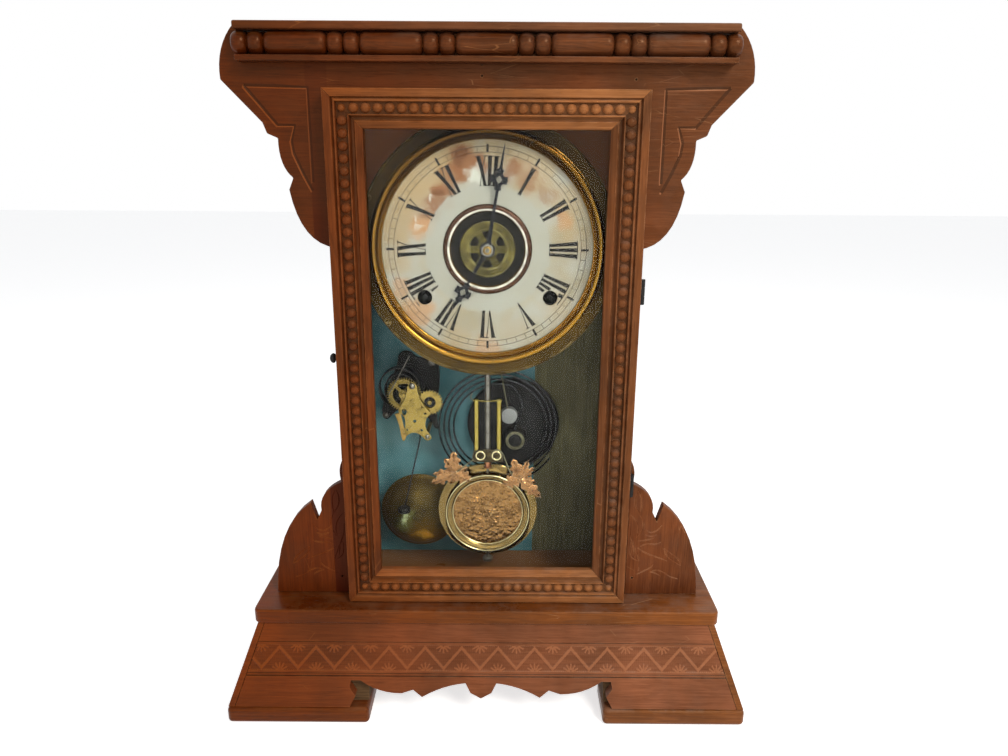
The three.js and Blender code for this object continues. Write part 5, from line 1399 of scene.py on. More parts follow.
def makeDialPrint(values):
    numerals = ["XII", "I", "II", "III", "IIII", "V", "VI", "VII", "VIII", "IX", "X", "XI"]
    front = values["paperFront"]
    parts = []
    holePlaces = [(side * values["windingX"], -values["windingDrop"]) for side in (-1, 1)]

    def clear(point):
        return all(math.dist(point, hole) > values["holeRadius"] + 0.9 for hole in holePlaces)

    for hour, text in enumerate(numerals):
        shapes = [letterShapes(c, values["numeralHeight"], values["numeralWeight"], values["hair"]) for c in text]
        width = sum(2 * half for half, outline in shapes)
        at = -width / 2
        for half, outlines in shapes:
            for k, outline in enumerate(outlines):
                middle = at + half
                for points in strokePieces(outline, lambda u, v: radialPoint(middle + u, v, values, hour * 30),
                                           clear):
                    parts.append(board(points, front - 0.03 - 0.004 * k, front + 0.01, 0))
            at += 2 * half
    for radius in (values["trackInner"], values["trackOuter"]):
        parts.append(sheetOf([circle(radius + 0.17, 200), circle(radius - 0.17, 200)], 0.05, 0, front - 0.01))
    for minute in range(60):
        onHour = minute % 5 == 0
        half = 0.8 if onHour else 0.17
        reach = values["trackOuter"] + (1.6 if onHour else 0)
        turn = math.radians(minute * 6)
        outline = []
        for side, radius in ((-1, values["trackInner"]), (1, values["trackInner"]), (1, reach), (-1, reach)):
            outline.append((radius * math.sin(turn) + side * half * math.cos(turn),
                            radius * math.cos(turn) - side * half * math.sin(turn)))
        parts.append(board(outline, front - 0.045, front + 0.01, 0))
    addPiece("dialPrint", atDial(joined(*parts)), ink, "case", flat=False)
    holesAt = [circle(values["holeRadius"] + 0.1, 40, x, z) for x, z in holePlaces]
    sheet = sheetOf([circle(79, 160), circle(32.3, 96)] + holesAt, 0.4, 0.08, front + 0.2)
    addPiece("dialPaper", atDial(sheet), dialPaper, "case", ["dial_paper"])


def makeAlarmDisc():
    windows = []
    for i in range(6):
        middle = i * 60 + 30
        outline = arc((0, 0), 13.2, middle - 19, middle + 19, 8) + arc((0, 0), 7.6, middle + 13, middle - 13, 5)
        windows.append(outline)
    disc = sheetOf([circle(20.1, 96), circle(3.9, 32)] + windows, 0.8, 0.16, -3.6)
    rings = [lathe([(r - w, -4.0), (r - w * 0.5, -4.22), (r + w * 0.5, -4.22), (r + w, -4.0), (r - w, -4.0)], 96)
             for r, w in ((19.5, 0.45), (14.4, 0.3), (5.6, 0.5))]
    addPiece("alarmDisc", atDial(joined(disc, *rings)), metalOf["discBrass"], "alarm_dial",
             ["alarm_disc"])
    numbers = []
    for hour in range(1, 13):
        numbers.append(turnedBy(moved(digits(str(hour), 3.4), 0, -4.05, 15.4), -hour * 30, "Y"))
    addPiece("alarmNumbers", atDial(joined(*numbers)), ink, "alarm_dial", flat=False)


def digits(text, size):
    data = bpy.data.curves.new("digits", "FONT")
    data.body = text
    data.size = size
    data.align_x = "CENTER"
    data.extrude = 0.03
    return turnedBy(fromCurve(data), 90, "X")


def handOutline(length, ornament, boss, tipWidth):
    half = [
        (2.3, boss * 0.86), (1.5, boss + 4), (1.0, ornament - 8.4), (0.9, ornament - 7.6), (2.7, ornament - 7.0),
        (2.0, ornament - 5.0), (2.5, ornament - 3.4), (3.4, ornament - 2.5), (5.0, ornament - 2.7),
        (6.3, ornament - 2.5), (5.7, ornament - 0.9), (6.7, ornament), (5.7, ornament + 0.9), (6.3, ornament + 2.5),
        (5.0, ornament + 2.7), (3.4, ornament + 2.5), (2.5, ornament + 3.4), (2.0, ornament + 5.0),
        (2.9, ornament + 6.4), (1.7, ornament + 7.4), (tipWidth, ornament + 8.2),
        (tipWidth * 0.8, ornament + (length - ornament) * 0.6), (0.2, length),
    ]
    ring = arc((0, 0), boss, 90 - 16, -180 - 90 + 16, 40)
    return half[::-1] + ring + [(-x, z) for x, z in half]


def makeHand(name, values, node):
    loops = [handOutline(values["length"], values["ornament"], values["boss"], values["tip"]),
             circle(values["bore"], 32),
             [(2.3, values["ornament"]), (0, values["ornament"] + 2.9), (-2.3, values["ornament"]),
              (0, values["ornament"] - 2.9)]]
    hand = turnedBy(sheetOf(loops, 0.8, 0.14, values["y"]), values["angle"], "Y")
    addPiece(name, atDial(hand), metalOf["handSteel"], values["body"], [node])


hands = {
    "hourHand": {"length": 50, "ornament": 35.5, "boss": 5.6, "bore": 3.8, "tip": 1.2, "y": -7.5, "angle": 210.3,
                 "body": "hour"},
    "minuteHand": {"length": 74, "ornament": 49.7, "boss": 4.4, "bore": 1.8, "tip": 1.0, "y": -9.5, "angle": 9.4,
                   "body": "minute"},
}

makePan(dialSet)
makeBezel(dialSet)
makeDialPrint(dialSet)
makeAlarmDisc()
makeHand("hourHand", hands["hourHand"], "hour_hand")
makeHand("minuteHand", hands["minuteHand"], "minute_hand")
nutProfile = [(1.8, -10.6), (3.1, -10.6), (3.1, -11.6), (2.7, -12.2), (2.2, -12.5), (1.8, -12.5), (1.8, -10.6)]
washer = lathe([(1.8, -10.2), (4.4, -10.2), (4.4, -10.5), (4.0, -10.7), (1.8, -10.7), (1.8, -10.2)], 40)
addPiece("handWasher", atDial(washer), metalOf["plainSteel"], "minute")
addPiece("handNut", atDial(lathe(nutProfile, 32)), metalOf["plainBrass"], "minute", ["hand_nut"])
print("the dial is made")


# ---- pendulum

metals["bellMetal"] = {
    "bright": (108, 87, 43), "dull": (80, 63, 31), "dark": (44, 38, 22), "tarnish": 0.7, "rough": (0.35, 0.55),
    "rubbed": (120, 98, 50), "wear": 0.4,
    # painted highlights: golden and pale spots with their halos; painted shade: a dark spot for the hole at the top
    "marks": [(2, 0, 34, 0.5, (58, 52, 30)), (6, -17, 17, 0.85, (132, 96, 30)), (5.4, -17, 8, 0.9, (226, 166, 48)),
              (-10, -6, 10, 0.7, (116, 118, 66)), (-11.4, -3.6, 4.2, 0.95, (222, 232, 176)),
              (-9.4, -6.6, 2.4, 0.8, (226, 232, 170)), (3.4, 7.7, 3.6, 0.8, (28, 20, 12)),
              (-24, -4, 16, 0.35, (64, 66, 38))],
}
metalOf["bellMetal"] = metal("bellMetal", metals["bellMetal"], bellCentre)
metals["ringGrey"] = {"bright": (120, 116, 92), "dull": (84, 80, 62), "dark": (44, 42, 34), "tarnish": 0.6,
                      "rubbed": (150, 146, 118), "metallic": 0.6}
metalOf["ringGrey"] = metal("ringGrey", metals["ringGrey"])
pendulumSet = {
    "rodY": 3.5, "tubeX": 8.8, "tubeY": 2.5, "tubeRadius": 2.2, "tubeLow": 49.5, "tubeHigh": 95.5, "plateY": 0.25,
    "top": 191.0, "embossRadius": 27.7, "embossRings": 64, "embossSteps": 260,
}
sprays = [
    {"x": -26.0, "z": 35.6, "leaves": [(92, 19, 9), (207, 22, 8.5), (330, 16, 11), (250, 12, 8), (125, 15, 6.5),
                                       (188, 19, 7), (20, 12, 7)]},
    {"x": 26.0, "z": 30.6, "leaves": [(110, 19, 8.5), (316, 24, 8.5), (198, 16, 10), (68, 17, 6.5), (40, 15, 6),
                                      (342, 14, 6.5), (160, 11, 7)]},
]


def atBob(bm):
    return moved(bm, 0, 0, bobCentre.z)


def leaf(degrees, length, width, tilt):
    # one pressed leaf: lobed edge, raised midrib, side veins and a curled tip
    rows, columns = 22, 12
    bm = bmesh.new()
    grid = []
    for i in range(rows + 1):
        u = i / rows
        lobes = 1 + 0.3 * math.cos(math.tau * (3.4 * u + 0.15))
        half = 0.5 * width * (math.sin(math.pi * min(u ** 0.75, 1)) ** 0.8 * lobes + 0.06 * (1 - u))
        row = []
        for j in range(columns + 1):
            v = 2 * j / columns - 1
            along = length * (u + 0.07 * abs(v) * math.sin(math.pi * u)) - 1
            rib = 0.8 * math.exp(-(v / 0.14) ** 2)
            vein = 0.38 * math.sin(math.tau * (5.2 * u - 1.5 * abs(v))) * (1 - abs(v) * 0.4)
            bend = 0.7 * math.sin(math.pi * u) - 1.1 * u ** 3 - 0.8 * abs(v) ** 2
            row.append(bm.verts.new((along, -(rib + vein * 0.8 + bend * 0.8) * 0.75 + tilt * v * 0.5, v * half)))
        grid.append(row)
    for i in range(rows):
        for j in range(columns):
            bm.faces.new((grid[i][j], grid[i + 1][j], grid[i + 1][j + 1], grid[i][j + 1]))
    bmesh.ops.recalc_face_normals(bm, faces=bm.faces)
    bmesh.ops.solidify(bm, geom=bm.faces[:], thickness=0.35)
    return turnedBy(bm, -degrees, "Y")


def makeSprays():
    parts = []
    for spray in sprays:
        for k, (degrees, length, width) in enumerate(spray["leaves"]):
            parts.append(moved(leaf(degrees, length, width, 0.6 if k % 2 else -0.6), spray["x"], -2.6 + 0.35 * k,
                               spray["z"]))
        parts.append(moved(lathe([(0, -0.9), (1.0, -0.7), (1.3, 0.4), (0, 0.4)], 16), spray["x"], -2.7, spray["z"]))
    addPiece("leafSprays", atBob(joined(*parts)), metalOf["leafCopper"], "pendulum", sharp=50,
             flat=False)


def makePendulum(values):
    y = values["rodY"]
    rodProfile = [
        (0, -45.3), (0.9, -45.1), (0.9, 46.4), (2.0, 46.9), (2.3, 47.6), (2.3, 117), (2.0, 117.8), (0.9, 118.4),
        (0.9, values["top"]), (0, values["top"]),
    ]
    pole = moved(upright(rodProfile, 24), 0, y, 0)
    addPiece("pendulumRod", atBob(pole), metalOf["plainSteel"], "pendulum", ["pendulum_rod"])
    parts = []
    for side in (-1, 1):
        x = side * values["tubeX"]
        tube = [(values["tubeRadius"] - 0.5, values["tubeLow"]), (values["tubeRadius"], values["tubeLow"]),
                (values["tubeRadius"], values["tubeHigh"]), (values["tubeRadius"] - 0.5, values["tubeHigh"]),
                (values["tubeRadius"] - 0.5, values["tubeLow"])]
        parts.append(moved(upright(tube, 32), x, values["tubeY"], 0))
    parts.append(wire([(-11, 0.2, 94.9), (-8.8, 0.1, 94.8), (0, 0.3, 94.3), (8.8, 0.1, 94.8), (11, 0.2, 94.6)], 0.45,
                      8, True))
    eyelets = [moved(tinyRing(3.4, 0.75, -0.3, 12, 40), x, 0, 49.5) for x in (-5.6, 7.0)]
    addPiece("pendulumEyelets", atBob(joined(*eyelets)), metalOf["paleBrass"], "pendulum")
    addPiece("pendulumFrame", atBob(joined(*parts)), metalOf["tubeBrass"], "pendulum",
             ["pendulum_frame"])
    plate = sheetOf([drawn((-12, 44.6), ((-12.4, 50), (-11, 53.2)), ((0, 55.6), (11, 53.2)), ((12.4, 50), (12, 44.6)),
                           ((0, 42.8), (-12, 44.6)))[:-1]], 0.9, 0.2, values["plateY"])
    addPiece("pendulumPlate", atBob(plate), metalOf["plateBrass"], "pendulum")
    links = joined(
        wire([(-11, 0.3, 94.9), (-12.6, 0.3, 96), (-12.9, 0.3, 98.5), (-11.8, 0.4, 100.2)], 0.5, 8, True),
        wire([(-11, -0.1, 46), (-15, -0.6, 43.4), (-19.5, -1.6, 39.8), (-24, -2.4, 36.6)], 0.5, 8, True),
        wire([(6, -0.2, 54.3), (10.4, -0.4, 53), (14, -1.0, 46), (16.6, -1.8, 39), (20.5, -2.4, 33)], 0.5, 8, True),
    )
    addPiece("pendulumLinks", atBob(links), metalOf["ringGrey"], "pendulum")
    nut = upright([(0.9, 38.4), (3.2, 38.4), (3.4, 39.0), (2.2, 39.6), (2.0, 41.5), (2.8, 42), (2.8, 43.6),
                   (0.9, 43.9), (0.9, 38.4)], 20)
    addPiece("pendulumNut", atBob(moved(nut, 0, y, 0)), metalOf["copper"], "pendulum")
    low = nodeBox("rating_nut")[0].z - bobCentre.z
    knurl = [(1.2, low), (3.4, low), (3.9, low + 0.5), (4.0, low + 0.9), (4.0, low + 2.4), (3.8, low + 2.8),
             (3.2, low + 3.2), (1.2, low + 3.2), (1.2, low)]
    addPiece("ratingNut", atBob(moved(upright(knurl, 28), 0, y, 0)), metalOf["plainSteel"], "pendulum",
             ["rating_nut"])
    makeBob(values)
    makeSprays()


def makeBob(values):
    profile = [
        (0, 1.9), (27.3, 1.9), (27.8, 1.5), (28.1, 0.9), (28.9, 0.1), (30.0, -0.5), (31.2, -0.85), (31.9, -0.9),
        (32.2, -1.3), (32.6, -1.58), (33.0, -1.5), (33.3, -1.05), (33.35, 0.4), (33.4, 4.4), (33.9, 5.5), (35.2, 6.2),
        (37.2, 6.55), (39.0, 6.5), (39.7, 6.3), (40.15, 6.6), (40.3, 7.2), (40.2, 7.8), (39.6, 8.2), (0, 8.2),
    ]
    rings = joined(*[tinyRing(radius, thick, y, 10, 160)
                     for radius, thick, y in ((33.0, 0.5, -1.25), (28.0, 0.42, 1.15))])
    addPiece("bobRings", atBob(rings), metalOf["paleBrass"], "pendulum")
    addPiece("pendulumBob", atBob(lathe(profile, 160)), metalOf["bobBrass"], "pendulum",
             ["pendulum_bob"])
    rings, steps = values["embossRings"], values["embossSteps"]
    bm = bmesh.new()
    grid = []
    for i in range(rings + 1):
        radius = values["embossRadius"] * max(i / rings, 0.004)
        row = []
        for k in range(steps):
            x, z = polar(radius, 360 * k / steps)
            row.append(bm.verts.new((x, 1.85 - emboss(x, z, radius / values["embossRadius"]), z)))
        grid.append(row)
    for inner, outer in zip(grid, grid[1:]):
        for k in range(steps):
            j = (k + 1) % steps
            bm.faces.new((inner[k], inner[j], outer[j], outer[k]))
    bm.faces.new(grid[0])
    addPiece("bobEmboss", atBob(bm), metalOf["embossCopper"], "pendulum", sharp=180, flat=False)
    jag = [0.0, 0.9, 0.2, 1.3, 0.4, 1.6, 0.7, 0.1, 1.2, 0.5, 1.7, 0.9, 0.2, 1.4, 0.6, 1.1, 0.0]
    rimTop = arc((0, 0), 39.6, 52, 128, 32)
    inside = [polar(35.2 + 1.1 * jag[i], 128 - 76 * i / 16) for i in range(17)]
    crown = sheetOf([rimTop + inside], 0.5, 0.15, 5.95)
    addPiece("bobCrown", atBob(crown), metalOf["bobBrass"], "pendulum")


def emboss(x, z, share):
    # leafy pressed work: overlapping leaves with veins, fading at the rim
    warp = noise.noise_vector(Vector((x, z, 3.1)) * 0.16) * 2.2
    at = Vector((x + warp.x, z + warp.y, 0.7)) * 0.3
    near, places = noise.voronoi(at)
    dome = max(0.0, 1 - near[0] * 1.5)
    split = min((near[1] - near[0]) * 3.2, 1.0)
    offset = at - places[0]
    turn = 2.6 * noise.noise(places[0] * 1.7) * math.pi
    across = offset.x * math.cos(turn) + offset.y * math.sin(turn)
    along = -offset.x * math.sin(turn) + offset.y * math.cos(turn)
    rib = math.exp(-(across / 0.07) ** 2)
    veins = 0.5 + 0.5 * math.cos(26 * (along + abs(across) * 0.9))
    height = 0.15 + split * (0.5 * dome + 0.32 * rib + 0.2 * veins) + 0.14 * noise.noise(Vector((x, z, 9)) * 1.3)
    return 1.35 * max(0.0, min(height, 1.3)) * min(1.0, (1 - share) * 9 + 0.05)


metals.update({
    "plateBrass": {"bright": (92, 80, 52), "dull": (54, 46, 32), "dark": (26, 22, 16), "tarnish": 0.7, "wear": 1.0,
                   "rubbed": (196, 184, 150)},
    "embossCopper": {"bright": (142, 106, 64), "dull": (98, 70, 40), "dark": (64, 44, 24), "tarnish": 0.5,
                     "rough": (0.22, 0.38), "wear": 0.9, "size": 2.0, "rubbed": (246, 222, 170)},
    "leafCopper": {"bright": (150, 110, 72), "dull": (110, 76, 48), "dark": (54, 36, 22), "tarnish": 0.45,
                   "rough": (0.25, 0.42), "wear": 0.7, "size": 2.0, "rubbed": (232, 204, 162)},
    "wheelBrass": {"bright": (150, 128, 68), "dull": (112, 94, 48), "dark": (50, 40, 20), "tarnish": 0.5,
                   "rubbed": (206, 182, 110), "wear": 0.8},
    "hammerGrey": {"bright": (128, 128, 126), "dull": (100, 100, 100), "dark": (70, 66, 60), "tarnish": 0.4,
                   "metallic": 0.5, "rough": (0.45, 0.6), "rubbed": (190, 190, 188)},
})
for name in ("plateBrass", "embossCopper", "leafCopper", "wheelBrass", "hammerGrey"):
    metalOf[name] = metal(name, metals[name])
makePendulum(pendulumSet)
print("the pendulum is made")


# ---- gong

gongSet = {"fromBase": (12.0, -1.5), "y": 35.0, "wire": 0.8, "inner": 36.2, "outer": 51.0, "turns": 3.7, "start": 75,
           "post": (13.4, -11.5), "postRadius": 8.0, "baseRadius": 38.5, "baseFront": 44.1, "baseBack": 50.9}


def makeGong(values):
    x0, z0 = gongCentre.x - values["fromBase"][0], gongCentre.z - values["fromBase"][1]
    postX, postZ = x0 + values["post"][0], z0 + values["post"][1]
    lead = [(13.4, -3.2), (13.4, -1.6), (15.0, 5.5), (18.4, 12.5), (19.0, 20.0), (16.4, 27.0)]
    steps = int(values["turns"] * 60)
    path = []
    for k in range(len(lead) - 1):
        path += [splineAt(lead, k, t / 6) for t in range(6)]
    path.append(lead[-1])
    first = polar(values["inner"], values["start"])
    path += curvePoints(lead[-1], (12.5, 33.5), first, 8)
    for i in range(1, steps + 1):
        share = i / steps
        path.append(polar(values["inner"] + (values["outer"] - values["inner"]) * share,
                          values["start"] + share * values["turns"] * 360))
    coil = wire([(x0 + x, values["y"], z0 + z) for x, z in path], values["wire"], 10)
    addPiece("gongCoil", coil, metalOf["coilSteel"], "case", ["gong_coil"], flat=False)
    front, radius = values["baseFront"], values["baseRadius"]
    plate = lathe([(0, front + 1.2), (20, front + 1.2), (25, front + 0.9), (31, front + 0.3), (33.8, front + 0.1),
                   (35.9, front + 0.3), (37.7, front + 1.1), (radius, front + 2.3), (radius, values["baseBack"]),
                   (0, values["baseBack"])], 96)
    boss = lathe([(0, 32.6), (5.0, 32.6), (5.4, 31.6), (6.0, 31.1), (7.4, 31.1), (8.0, 31.9), (8.0, front - 1),
                  (9.6, front + 1.2), (0, front + 1.3)], 48)
    posts = [moved(plate, gongCentre.x, 0, gongCentre.z), moved(boss, postX, 0, postZ)]
    for x, z, degrees in ((-22, 20, 20), (16, 24, 75), (-14, -25, 130)):
        posts.append(moved(screwHead(2.6, 1.1, degrees), gongCentre.x + x, front + 1.0, gongCentre.z + z))
    addPiece("gongBase", joined(*posts), metalOf["blackIron"], "case", ["gong_base"])
    ring = moved(lathe([(5.5, 31.5), (6.0, 31.0), (7.5, 31.0), (7.9, 31.4), (7.4, 31.6), (5.5, 31.6)], 48), postX, 0,
                 postZ)
    addPiece("gongBossRing", ring, metalOf["ringGrey"], "case")
    addPiece("gongScrew", moved(screwHead(3.2, 0.9, 80, 0.8), postX, 32.6, postZ), metalOf["blackIron"], "case")
    low, high = nodeBox("gong_hammer")
    headX, headZ = high.x - 6.7, low.z + 6.7
    pivotX, pivotZ = 0.5, high.z - 1.5
    arbor = rod((pivotX, low.y, pivotZ), (pivotX, high.y, pivotZ), 1.5, 24, 0.2)
    arm = wire([(pivotX, 32, pivotZ), (pivotX + 6, 32, pivotZ - 36), (headX - 3, 32, headZ + 16), (headX, 32, headZ)],
               0.55, 10, True)
    addPiece("gongHammerWire", joined(arbor, arm), metalOf["ringGrey"], "gong_hammer", ["gong_hammer"])
    head = lathe([(0, 30.7), (5.9, 30.5), (6.5, 30.8), (6.7, 31.5), (6.7, 36.6), (6.2, 37.5), (0, 37.5)], 56)
    addPiece("gongHammerHead", moved(head, headX, 0, headZ), metalOf["hammerGrey"], "gong_hammer")


makeGong(gongSet)
print("the gong is made")


# ---- alarm

alarmSet = {"plateY": 18.6, "wheelY": 24.6, "teeth": 42, "pitchRadius": 13.65, "phase": -14.7,
            "second": (20.748, -5.443), "ratchetTeeth": 26, "ratchetRadius": 10.6, "pinionTeeth": 24,
            "pinionRadius": 7.8, "barFront": 47.4, "barBack": 50.9}


def gearOutline(teeth, pitchRadius, phase, tall=0.8):
    size = 2 * pitchRadius / teeth
    tip, root = pitchRadius + tall * size, pitchRadius - 1.9 * size
    pitch = 360 / teeth
    points = []
    for tooth in range(teeth):
        middle = phase + tooth * pitch
        for radius, share in ((root, -0.3), (root + 0.6 * (tip - root), -0.19), (tip, -0.08), (tip, 0.08),
                              (root + 0.6 * (tip - root), 0.19), (root, 0.3)):
            points.append(polar(radius, middle + share * pitch))
    return points


def ratchetOutline(teeth, tip, root):
    points = []
    for tooth in range(teeth):
        start = tooth * 360 / teeth
        points += [polar(root, start), polar(tip, start + 150 / teeth), polar(tip, start + 185 / teeth)]
    return points


def ribbon(inner, outer, turns, strip, yFront, yBack, drift=(0.0, 0.0), perTurn=56):
    # a wound flat spring
    steps = int(turns * perTurn)
    bm = bmesh.new()
    rings = []
    for i in range(steps + 1):
        share = i / steps
        ring = []
        for offset, y in ((-0.5, yFront), (0.5, yFront), (0.5, yBack), (-0.5, yBack)):
            x, z = polar(inner + (outer - inner) * share + offset * strip, share * turns * 360)
            ring.append(bm.verts.new((x + drift[0] * share, y, z + drift[1] * share)))
        rings.append(ring)
    for first, second in zip(rings, rings[1:]):
        for k in range(4):
            bm.faces.new((first[k], first[(k + 1) % 4], second[(k + 1) % 4], second[k]))
    bm.faces.new(rings[0])
    bm.faces.new(rings[-1][::-1])
    return bm


def atAlarm(bm):
    return moved(bm, alarmCentre.x, 0, alarmCentre.z)


def makeAlarm(values):
    plate = drawn(
        (5.2, 11.8), ((4.2, 9.5), (3.4, 8.0)), ((3.6, 0.0), (-3.0, -8.6)), ((-5.2, -11.4), (-3.2, -13.8)),
        ((-0.6, -14.4), (0.9, -18.5)), ((1.6, -23.5), (-0.3, -29.0)), (1.5, -33.5), ((7.2, -27.0), (13.5, -32.5)),
        (17.4, -36.4), ((20.2, -37.4), (21.9, -34.6)), ((21.5, -32.6), (18.4, -28.6)), ((15.8, -22.8), (18.6, -17.2)),
        ((20.4, -15.4), (21.5, -13.0)), ((13.0, -5.0), (10.9, 8.0)), ((10.4, 10.6), (9.2, 11.8)),
        ((7.2, 12.9), (5.2, 11.8)), steps=10,
    )[:-1]
    plateHoles = [circle(1.3, 20, 8.75, -20.3), circle(0.65, 14, 2.6, -27.8), circle(1.1, 18, 14.0, -28.0),
                  circle(1.2, 18, 17.2, -13.6),
                  [(0.5 + 1.9 * math.cos(math.tau * i / 24),
                    -12.3 + 2.9 * math.sin(math.tau * i / 24)) for i in range(24)]]
    sheet = sheetOf([plate] + plateHoles, 1.2, 0.18, values["plateY"])
    studs = [
        rod((9.5, 18.5, -17), (9.5, 48, -17), 1.5), rod((18.2, 18.5, -32.5), (18.2, 48, -32.5), 1.5),
        rod((0, 22.5, 0), (0, 48, 0), 1.6),
        rod((values["second"][0], 20.2, values["second"][1]), (values["second"][0], 48, values["second"][1]), 1.6),
    ]
    addPiece("alarmPlate", atAlarm(joined(sheet, *studs)), metalOf["wheelBrass"], "case",
             ["alarm_frame"])
    screws = [moved(lathe([(0, -1.9), (1.3, -1.7), (2.2, -1.1), (2.6, 0), (0, 0)], 32), 7.2, 18.0, 9.0),
              moved(screwHead(1.9, 1.2, 70), 18.6, 18.0, -33.4),
              moved(screwHead(2.9, 1.8, 35), 20.5, 47.4, 20.5), moved(screwHead(2.6, 1.6, 20), -19.2, 47.4, -25.2)]
    addPiece("alarmScrews", atAlarm(joined(*screws)), metalOf["plainSteel"], "case")
    bar = drawn((-21.2, -27.5), ((-19, -30), (-16.6, -28.2)), ((-8, -18), (0, -17)), ((14, -20), (22, -37)),
                (25, -37.5), ((22, -18), (26, -2)), ((27.5, 12), (25.5, 22)), ((24, 26.5), (19, 25.0)),
                ((8, 22), (4, 29)), ((-4, 32), (-7, 26)), ((-8, 16), (-14, 6)), ((-20, -8), (-22, -21)), steps=8)
    addPiece("alarmBar", atAlarm(board(bar, values["barFront"], values["barBack"], 0.5)), metalOf["blackIron"],
             "case")
    arm = drawn((-7.6, -15.5), (-3.0, -14.5), ((-1.6, -22), (1.2, -33)), ((0.6, -38), (-1.0, -38.6)),
                ((-2.8, -38), (-3.4, -31)), ((-4.4, -23), (-7.6, -15.5)), steps=8)[:-1]
    addPiece("alarmStopWire", atAlarm(wire([(-12, 19.4, 1), (-3, 18.9, 17), (6, 18.6, 33.5)], 0.45, 8)),
             metalOf["plainSteel"], "case")
    addPiece("alarmArm", atAlarm(joined(sheetOf([arm], 1.2, 0.2, 21.6),
                                        rod((-4.6, 21.4, -17.4), (-4.6, 48, -17.4), 1.3))),
             metalOf["plainBrass"], "case")
    openings = [arc((0, 0), 9.2, start, start + 106, 16) + arc((0, 0), 4.2, start + 96, start + 10, 8)
                for start in (20, 140, 260)]
    wheel = sheetOf([gearOutline(values["teeth"], values["pitchRadius"], values["phase"]),
                     circle(1.9, 24)] + openings,
                    1.2, 0.08, values["wheelY"])
    hub = lathe([(1.9, 23.2), (3.4, 23.2), (3.6, 23.6), (3.6, 24.1), (1.9, 24.1), (1.9, 23.2)], 32)
    addPiece("alarmGreatWheel", atAlarm(joined(wheel, hub)), metalOf["wheelBrass"], "alarm_great",
             ["alarm_great_wheel"])
    front = sheetOf([ratchetOutline(values["ratchetTeeth"], values["ratchetRadius"], values["ratchetRadius"] - 1.8),
                     circle(4.7, 32)], 1.2, 0.08, 21.6)
    rear = sheetOf([gearOutline(values["pinionTeeth"], values["pinionRadius"], values["phase"] + 180 + 7.5),
                    circle(4.7, 32)], 3.4, 0.08, 23.9)
    second = moved(joined(front, rear), values["second"][0], 0, values["second"][1])
    addPiece("alarmSecondWheel", atAlarm(second), metalOf["wheelBrass"], "alarm_second",
             ["alarm_second_wheel"])
    collar = lathe([(1.9, 23.6), (4.8, 23.6), (4.8, 25.4), (1.9, 25.4), (1.9, 23.6)], 32)
    addPiece("alarmWheelCollar", moved(atAlarm(collar), values["second"][0], 0, values["second"][1]),
             metalOf["blackIron"], "alarm_second")
    addPiece("alarmMainspring", atAlarm(ribbon(4.5, 19, 4, 0.8, 28, 37, (-4, 5))), metalOf["springSteel"], "case",
             ["alarm_mainspring"], flat=False)
    x, y, z = -54.0, 21.1, 220.0
    head = (x - 14.8, y - 8.2, z - 70.5)
    hammer = joined(
        rod((x - 3, y, z), (x + 3, y, z), 1.6, 20, 0.2),
        wire([(x, y, z), (x - 1.5, y, z - 13), head], 0.6, 10),
        moved(upright([(0, -2), (4.4, -2), (5, -1.4), (5, 1.3), (4.5, 2), (0, 2)], 40), *head),
    )
    addPiece("alarmHammer", hammer, metalOf["springSteel"], "alarm_hammer", ["alarm_hammer"])


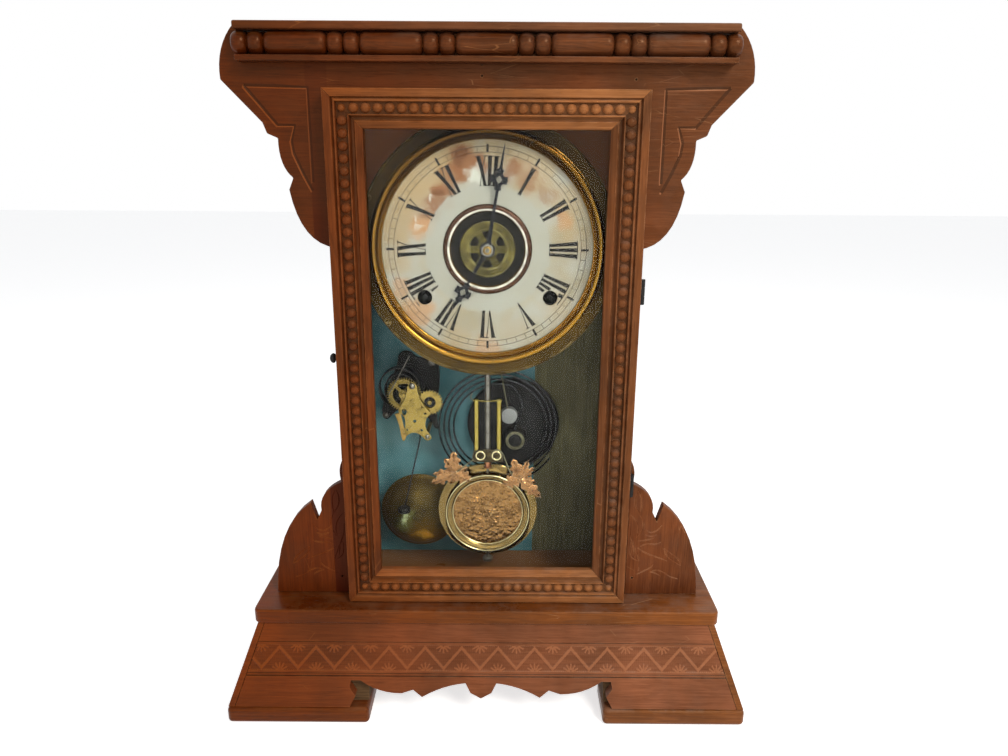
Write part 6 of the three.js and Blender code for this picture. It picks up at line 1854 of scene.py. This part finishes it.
def makeBell():
    y = nodeBox("alarm_bell")[0].y
    profile = [
        (2.5, y), (6, y + 0.1), (10, y + 0.4), (15.4, y + 1.3), (20.1, y + 2.6), (23.9, y + 4.4), (26.9, y + 6.4),
        (28.7, y + 8.6), (29.9, y + 10.4), (31.3, y + 11.6), (32.6, y + 12.4), (32.6, y + 13), (31.1, y + 13),
        (28.6, y + 11.0), (25.4, y + 7.6), (19.3, y + 4.2), (10, y + 1.9), (2.5, y + 1.5), (2.5, y),
    ]
    addPiece("alarmBell", moved(lathe(profile, 128), bellCentre.x, 0, bellCentre.z), metalOf["bellMetal"], "case",
             ["alarm_bell"], flat=False)
    low, high = nodeBox("bell_post")
    post = lathe([(0, low.y), (2.6, low.y), (3.9, low.y + 0.5), (4.2, low.y + 1.2), (4.2, low.y + 2.4),
                  (2.2, low.y + 2.7), (2.2, y + 1.7), (4, y + 1.9), (4, high.y), (0, high.y)], 36)
    addPiece("bellPost", moved(post, bellCentre.x, 0, bellCentre.z), metalOf["bellMetal"], "case",
             ["bell_post"])


makeAlarm(alarmSet)
makeBell()
print("the alarm is made")


# ---- label and movement


def makeLabel():
    low, high = nodeBox("label_paper")
    edge = []
    for i in range(91):
        share = i / 90
        torn = 0.5 * noise.noise(Vector((share * 40, 1, 0))) + 0.5 * noise.noise(Vector((share * 11, 7, 0)))
        edge.append((high.x - 0.6 - abs(torn), low.z + (high.z - low.z) * share))
    outline = [(low.x, high.z), (low.x, low.z)] + edge
    addPiece("labelPaper", sheetOf([outline], high.y - low.y, 0.05, (low.y + high.y) / 2), labelPaper, "case",
             ["label_paper"])


makeLabel()
movementParts = [
    # the front plate seen through the winding holes takes the near-black wellMetal as painted shade in the holes
    ("movement_front_plate", "wellMetal", "case", "aged_brass"),
    ("movement_back_plate", "plainBrass", "case", "aged_brass"),
    ("minute_arbor", "plainSteel", "minute", "steel"),
    ("hour_wheel", "plainBrass", "hour", "aged_brass"),
    ("motion_wheel", "plainBrass", "motion", "aged_brass"),
    ("time_winding_arbor", "blackIron", "time_winding", "steel"),
    ("strike_winding_arbor", "blackIron", "strike_winding", "steel"),
    ("escape_wheel", "plainBrass", "escape", "aged_brass"),
    ("verge", "plainSteel", "verge", "steel"),
]
for node, look, body, slotName in movementParts:
    words = node.split("_")
    addPiece(words[0] + "".join(word.title() for word in words[1:]), nodeCopy(node, 0.1, 2), metalOf[look], body,
             [node])
for name in ("time", "strike"):
    middle = centreOf(name + "_mainspring")
    low, high = nodeBox(name + "_mainspring")
    coilSpring = ribbon(3.2, 14.4, 8, 0.5, low.y, high.y, (0, 0), 48)
    addPiece(name + "Mainspring", moved(coilSpring, middle.x, 0, middle.z), metalOf["springSteel"], "case",
             [name + "_mainspring"], flat=False)
print("the movement is made")
